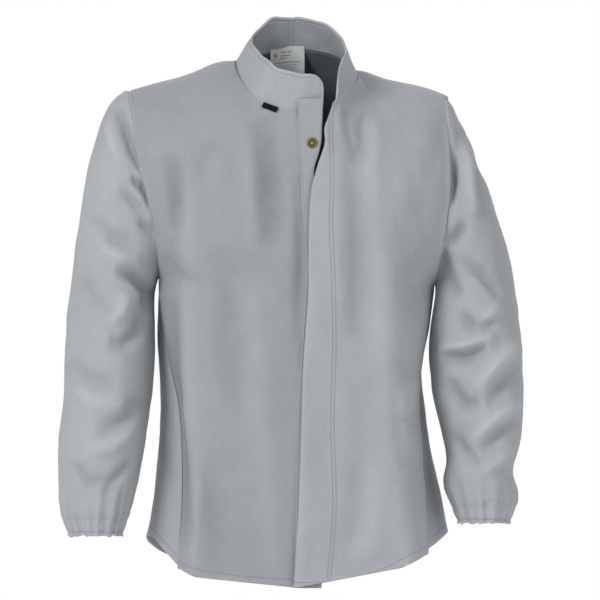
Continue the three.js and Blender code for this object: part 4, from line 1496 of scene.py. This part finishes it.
COLLAR_PLIES = {
    "right": ("collar_right_outer", "collar_right_inner", "collar_back_outer", "collar_back_inner"),
    "left": ("collar_left_outer", "collar_left_inner"),
}
HALVES_OVERLAP = 0.02  # how far the collar halves lap at the back, in stations


def corner(distance):
    """How much lower the collar's top edge is, near its rounded front corner."""
    left = clamp(COLLAR_CORNER - distance, 0, COLLAR_CORNER)
    return COLLAR_CORNER - math.sqrt(COLLAR_CORNER**2 - left**2)


class JACKET_OT_collar(bpy.types.Operator):
    """Stand-up collar, two plies sewn together, in two halves from the back's middle"""

    bl_idname = "jacket.collar"
    bl_label = "Collar"

    def execute(self, context):
        ends = {
            "right": (BACK_NECK + HALVES_OVERLAP, RIGHT_END, 265, RIGHT),
            "left": (BACK_NECK - HALVES_OVERLAP, LEFT_END, 205, LEFT),
        }
        for name, (first, last, long, side) in ends.items():
            sheet = Sheet(marks(long, 3.4, start=False), marks(COLLAR_HEIGHT, 3.2))

            def surface(s, t):
                station = lerp(first, last, s)
                low = corner((1 - s) * long)
                top = COLLAR_HEIGHT + 0.6 + collar_rise(station) - low
                if side is RIGHT:
                    top += 1.2 * math.sin(station * 2.6) + 0.8 * math.sin(station * 5.1 + 1)
                return collar(station, lerp(top, -3.0, t))

            sheet.place(surface)
            sheet.face_out(Vector((0, -25, 10)))
            points = sheet.points()
            s, t = np.array(sheet.s), np.array(sheet.t)
            quiet = np.clip((1 - t) * 8, 0, 1) * np.clip((1 - s) * 30, 0, 1)
            bend = waves(points, 7, 34, 60, 3.4) + waves(points, 17, 15, 22, 1.0)
            roll = edge_roll((1 - t) * COLLAR_HEIGHT, 5, 1.2)
            edge = edge_roll(t * COLLAR_HEIGHT, 2.4, 0.9) + edge_roll((1 - s) * long, 2.4, 0.9)
            sheet.raise_by(bend * quiet + roll + edge)
            # the bends' heights, kept for painted shade where the collar dips and painted light
            # where it bulges
            sheet.note(sheet.fold, bend)
            near = np.minimum(t * COLLAR_HEIGHT, (1 - s) * long)
            sheet.note(sheet.rub, np.exp(-near / 3))
            sheet.set_uv(lambda s, t, p: ((1 - s) * long, t * COLLAR_HEIGHT))
            piece = sheet.finish(
                name + "_collar", suede_finish("suede_collar", (("u", 5), ("v", 5))), 3.4
            )
            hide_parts(*COLLAR_PLIES[name])
            if side is RIGHT:
                start, way = Vector((-0.075, -0.0375, 0)), Vector((0.447, -0.894, 0))
                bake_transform(piece)
            else:
                way = Vector((-0.3, -0.954, 0))
                start = way * 0.025
                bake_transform(piece)
            long * MM
        return {"FINISHED"}


class JACKET_OT_facing(bpy.types.Operator):
    """The facing inside the fly, which carries the sockets"""

    bl_idname = "jacket.facing"
    bl_label = "Fly Facing"

    def execute(self, context):
        def surface(s, t):
            down = lerp(0.012, 0.995, t)
            z = lerp(neck(LEFT_END).z, -LENGTH, down)
            width = LEFT.fold(z)[0] - fly_edge(z)
            return left_front(lerp(0.03, min(50 / width, 0.93), s), down)

        sheet = Sheet(marks(FACING_WIDE, 5), marks(FACING_HIGH, 8))
        sheet.place(surface)
        sheet.face_out(BODY_MIDDLE)
        points = sheet.points()
        creases = folds_on(points, LEFT_FRONT_FOLDS)
        sheet.raise_by(-3.5 + np.minimum(creases, 0) + waves(points, 6, 40, 70, 0.6))
        sheet.set_uv(lambda s, t, p: (s * FACING_WIDE, t * FACING_HIGH))
        skin = suede_finish("suede_facing", (("u", 45),))
        piece = sheet.finish("fly_facing", skin, leather().ply)
        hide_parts("left_snap_facing")
        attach(piece, "left_front")
        return {"FINISHED"}


def turned(name, outline, places, finish, body, rub=None, segments=32):
    """A metal part turned from its outline of (radius, height) in mm, at each place."""
    bm = bmesh.new()
    mark = bm.verts.layers.float.new("rub")
    for point, axis in places:
        ring = [bm.verts.new((r, 0, h)) for r, h in outline]
        for k, v in enumerate(ring):
            v[mark] = rub[k] if rub else 0.0
        edges = [bm.edges.new(pair) for pair in zip(ring, ring[1:])]
        bmesh.ops.spin(
            bm, geom=ring + edges, cent=(0, 0, 0), axis=(0, 0, 1), dvec=(0, 0, 0),
            angle=TURN, steps=segments, use_merge=True, use_duplicate=False,
        )
        loose = {v for f in bm.faces if f.is_valid for v in f.verts if not v.tag}
        bmesh.ops.remove_doubles(bm, verts=list(loose), dist=1e-4)
        new = [v for v in bm.verts if not v.tag]
        turn = Vector((0, 0, 1)).rotation_difference(axis).to_matrix().to_4x4()
        bmesh.ops.transform(bm, matrix=Matrix.Translation(point) @ turn, verts=new)
        for v in new:
            v.tag = True
    bmesh.ops.recalc_face_normals(bm, faces=bm.faces)
    bmesh.ops.scale(bm, vec=(MM, MM, MM), verts=bm.verts)
    piece = mesh_object(name, bm, finish)
    round_off = piece.modifiers.new("Edges", "BEVEL")
    round_off.width = 0.12 * MM
    round_off.segments = 2
    round_off.limit_method = "ANGLE"
    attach(piece, body)
    return piece


class JACKET_OT_snaps(bpy.types.Operator):
    """Press studs on the placket and sockets inside the fly"""

    bl_idname = "jacket.snaps"
    bl_label = "Press Studs"

    def execute(self, context):
        finish = finish_once("aged_brass", brass, tuple(trim().brass))
        ahead = Vector((0, -1, 0))
        heights = [SNAP_FIRST - SNAP_PITCH * i for i in range(SNAP_COUNT)]
        studs = [
            (Vector((placket_seam(z) + SNAP_INSET, fly_face(z) + STACK - 2.7, z)), ahead)
            for z in heights
        ]
        stud = turned(
            "snap_studs",
            [(0, 3.0), (1.7, 3.0), (2.6, 2.7), (2.9, 2.1), (2.6, 1.5), (2.6, 1.0), (4.5, 0.95)]
            + [(5.3, 1.5), (6.6, 1.5), (7.5, 0.9), (7.8, 0.1), (7.3, -0.2), (0, -0.2)],
            studs, finish, "right_front",
            rub=[1, 1, 0.8, 0.2, -0.8, -1.0, -1.0, 0.2, 0.5, 0.3, 0, 0, 0],
        )
        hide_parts(*("stud_%d" % (i + 1) for i in range(SNAP_COUNT)))
        posts = turned(
            "stud_backs",
            [(0, -0.5), (5.0, -0.5), (5.4, 0.1), (5.0, 0.6), (1.6, 0.7), (0, 0.7)],
            [(p + Vector((0, 5.0, 0)), ahead) for p, a in studs], finish, "right_front",
        )
        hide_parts(*("stud_post_%d" % (i + 1) for i in range(SNAP_COUNT)))

        open_point = left_front(0.3, 0.13)
        step = 1e-3
        open_axis = (left_front(0.3 + step, 0.13) - open_point).cross(
            left_front(0.3, 0.13 + step) - open_point
        ).normalized()
        if open_axis.y > 0:
            open_axis.negate()
        faces = [(open_point, open_axis)] + [
            (Vector((placket_seam(z) + SNAP_INSET, fly_face(z), z)), ahead) for z in heights[1:]
        ]
        caps = turned(
            "snap_caps",
            [(0, 0.5), (5.2, 0.5), (6.0, 0.1), (6.0, -0.3), (1.6, -0.4), (0, -0.4)],
            [(p - a * 2.6, a) for p, a in faces], finish, "left_front",
        )
        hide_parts(*("snap_cap_%d" % (i + 1) for i in range(SNAP_COUNT)))
        sockets = turned(
            "snap_sockets",
            [(3.2, 0.1), (3.4, -2.0), (4.0, -2.3), (5.2, -2.1), (6.6, -1.2), (6.9, -0.4)]
            + [(6.6, 0.2), (3.2, 0.1)],
            [(p - a * 5.6, a) for p, a in faces], finish, "left_front",
        )
        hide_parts(*("snap_socket_%d" % (i + 1) for i in range(SNAP_COUNT)))
        return {"FINISHED"}


LABEL_STATION, LABEL_REACH, LABEL_WIDE, LABEL_HIGH = 6.84, 0.37, 45, 52
TAG_STATION = 2.08
TAG_SIZE = (25, 8, 1.0)


class JACKET_OT_label(bpy.types.Operator):
    """Neck label and the small black tag in the collar's seam"""

    bl_idname = "jacket.label"
    bl_label = "Label and Tag"

    def execute(self, context):
        def surface(s, t):
            point = neck(lerp(LABEL_STATION - LABEL_REACH, LABEL_STATION + LABEL_REACH, s))
            point.y -= 5.4 + 1.2 * math.sin(math.pi * s) + 1.5 * t
            point.z -= t * LABEL_HIGH - 1.5
            return point

        wide, high = LABEL_WIDE, LABEL_HIGH
        sheet = Sheet(marks(wide, 3, False, False), marks(high, 3, False, False))
        sheet.place(surface)
        bmesh.ops.recalc_face_normals(sheet.bm, faces=sheet.bm.faces)
        sheet.face_out(Vector((0, 200, 0)))
        points = sheet.points()
        sheet.raise_by(waves(points, 2, 22, 18, 1.0))
        sheet.set_uv(lambda s, t, p: (s * wide, t * high))
        white, ink = (0.60, 0.62, 0.63), (0.12, 0.125, 0.13)
        tape = finish_once("label_white", label_tape, white, ink)
        label = sheet.finish("label_tape", tape, 0.5)
        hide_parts("neck_label")
        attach(label, "body")

        station = TAG_STATION
        along = (neck(station + 0.2) - neck(station - 0.2)).normalized()
        tag_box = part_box("name_tag")
        centre = (tag_box[0] + tag_box[1]) / 2 / MM
        normal = Vector((-0.05, -0.98, 0.16))
        normal = (normal - along * normal.dot(along)).normalized()
        down = along.cross(normal).normalized()
        bm = bmesh.new()
        bm.loops.layers.uv.new("UVMap")
        bmesh.ops.create_cube(bm, size=1, calc_uvs=True)
        bmesh.ops.subdivide_edges(bm, edges=bm.edges, cuts=5, use_grid_fill=True)
        bmesh.ops.scale(bm, vec=TAG_SIZE, verts=bm.verts)
        turn = Matrix((along, down, normal)).transposed().to_4x4()
        bmesh.ops.transform(bm, matrix=Matrix.Translation(centre) @ turn, verts=bm.verts)
        bmesh.ops.scale(bm, vec=(MM, MM, MM), verts=bm.verts)
        black = finish_once("tag_black", woven, (0.012, 0.012, 0.014), 0.5, 0.6)
        tag = mesh_object("black_tag", bm, black)
        edges = tag.modifiers.new("Edges", "BEVEL")
        edges.width, edges.segments = 0.25 * MM, 2
        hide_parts("name_tag")
        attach(tag, "right_front")
        return {"FINISHED"}


class JACKET_OT_stage(bpy.types.Operator):
    """Camera, floor and soft studio light"""

    bl_idname = "jacket.stage"
    bl_label = "Stage"

    def execute(self, context):
        scene = context.scene
        stage = scene.jacket_stage
        front = -0.13
        camera_data = bpy.data.cameras.new("Camera")
        camera_data.sensor_width = 36
        camera_data.lens = 36 * stage.distance / stage.width
        camera_data.clip_end = 200
        camera = bpy.data.objects.new("Camera", camera_data)
        scene.collection.objects.link(camera)
        camera.location = (0.007, front - stage.distance, -0.333)
        camera.rotation_euler = (math.pi / 2, 0, 0)
        scene.camera = camera

        bm = bmesh.new()
        bmesh.ops.create_circle(bm, cap_ends=True, segments=96, radius=2.6)
        bmesh.ops.translate(bm, verts=bm.verts, vec=(0, 0.4, -0.86))
        pale = Shader("floor_pale", Base_Color=(0.86, 0.86, 0.86, 1), Roughness=0.9)
        floor = mesh_object("floor", bm, pale.material, False)

        world = bpy.data.worlds.new("Studio")
        scene.world = world
        world.use_nodes = True
        nodes, links = world.node_tree.nodes, world.node_tree.links
        ambient = nodes["Background"]
        ambient.inputs["Color"].default_value = (1, 1, 1, 1)
        ambient.inputs["Strength"].default_value = stage.ambient
        backdrop = nodes.new("ShaderNodeBackground")
        path = nodes.new("ShaderNodeLightPath")
        either = nodes.new("ShaderNodeMixShader")
        links.new(path.outputs["Is Camera Ray"], either.inputs[0])
        links.new(ambient.outputs[0], either.inputs[1])
        links.new(backdrop.outputs[0], either.inputs[2])
        links.new(either.outputs[0], nodes["World Output"].inputs[0])
        backdrop.inputs["Color"].default_value = (1, 1, 1, 1)
        backdrop.inputs["Strength"].default_value = 1.0
        scene.view_settings.view_transform = "Standard"

        for name, place, size, power in (
            ("Key", (-3.2, -3.4, 1.9), 1.6, 136),
            ("Fill", (3.2, -4.0, 0.4), 2.6, 60),
            ("Back", (0.5, 3.4, 2.2), 2.4, 60),
        ):
            light = bpy.data.lights.new(name, "AREA")
            light.size = size
            light.energy = power
            lamp = bpy.data.objects.new(name, light)
            scene.collection.objects.link(lamp)
            lamp.location = place
            aim = Vector((0, 0, -0.35)) - Vector(place)
            lamp.rotation_euler = aim.to_track_quat("-Z", "Y").to_euler()
        return {"FINISHED"}


class JACKET_PT_panel(bpy.types.Panel):
    """Lists the jacket's sizes and the steps that build it"""

    bl_idname = "JACKET_PT_panel"
    bl_label = "Jacket"
    bl_space_type = "VIEW_3D"
    bl_region_type = "UI"
    bl_category = "Jacket"

    def draw(self, context):
        for group in GROUPS:
            settings = getattr(context.scene, group)
            for key in settings.bl_rna.properties.keys():
                if key not in ("rna_type", "name"):
                    self.layout.prop(settings, key)
        for step in STEPS:
            self.layout.operator(step.bl_idname)


GROUPS = {
    "jacket_leather": JacketLeather,
    "jacket_trim": JacketTrim,
    "jacket_stage": JacketStage,
}
STEPS = (
    JACKET_OT_stage,
    JACKET_OT_right_front,
    JACKET_OT_left_front,
    JACKET_OT_placket,
    JACKET_OT_facing,
    JACKET_OT_back,
    JACKET_OT_collar,
    JACKET_OT_sleeves,
    JACKET_OT_cuffs,
    JACKET_OT_snaps,
    JACKET_OT_label,
)


def register():
    for group in GROUPS.values():
        bpy.utils.register_class(group)
    for step in STEPS:
        bpy.utils.register_class(step)
    bpy.utils.register_class(JACKET_PT_panel)
    for name, group in GROUPS.items():
        setattr(bpy.types.Scene, name, PointerProperty(type=group))


def unregister():
    for name in GROUPS:
        delattr(bpy.types.Scene, name)
    for step in (JACKET_PT_panel, *reversed(STEPS), *GROUPS.values()):
        bpy.utils.unregister_class(step)


def main():
    register()
    for step in STEPS:
        group, name = step.bl_idname.split(".")
        getattr(getattr(bpy.ops, group), name)()


if __name__ == "__main__":
    main()
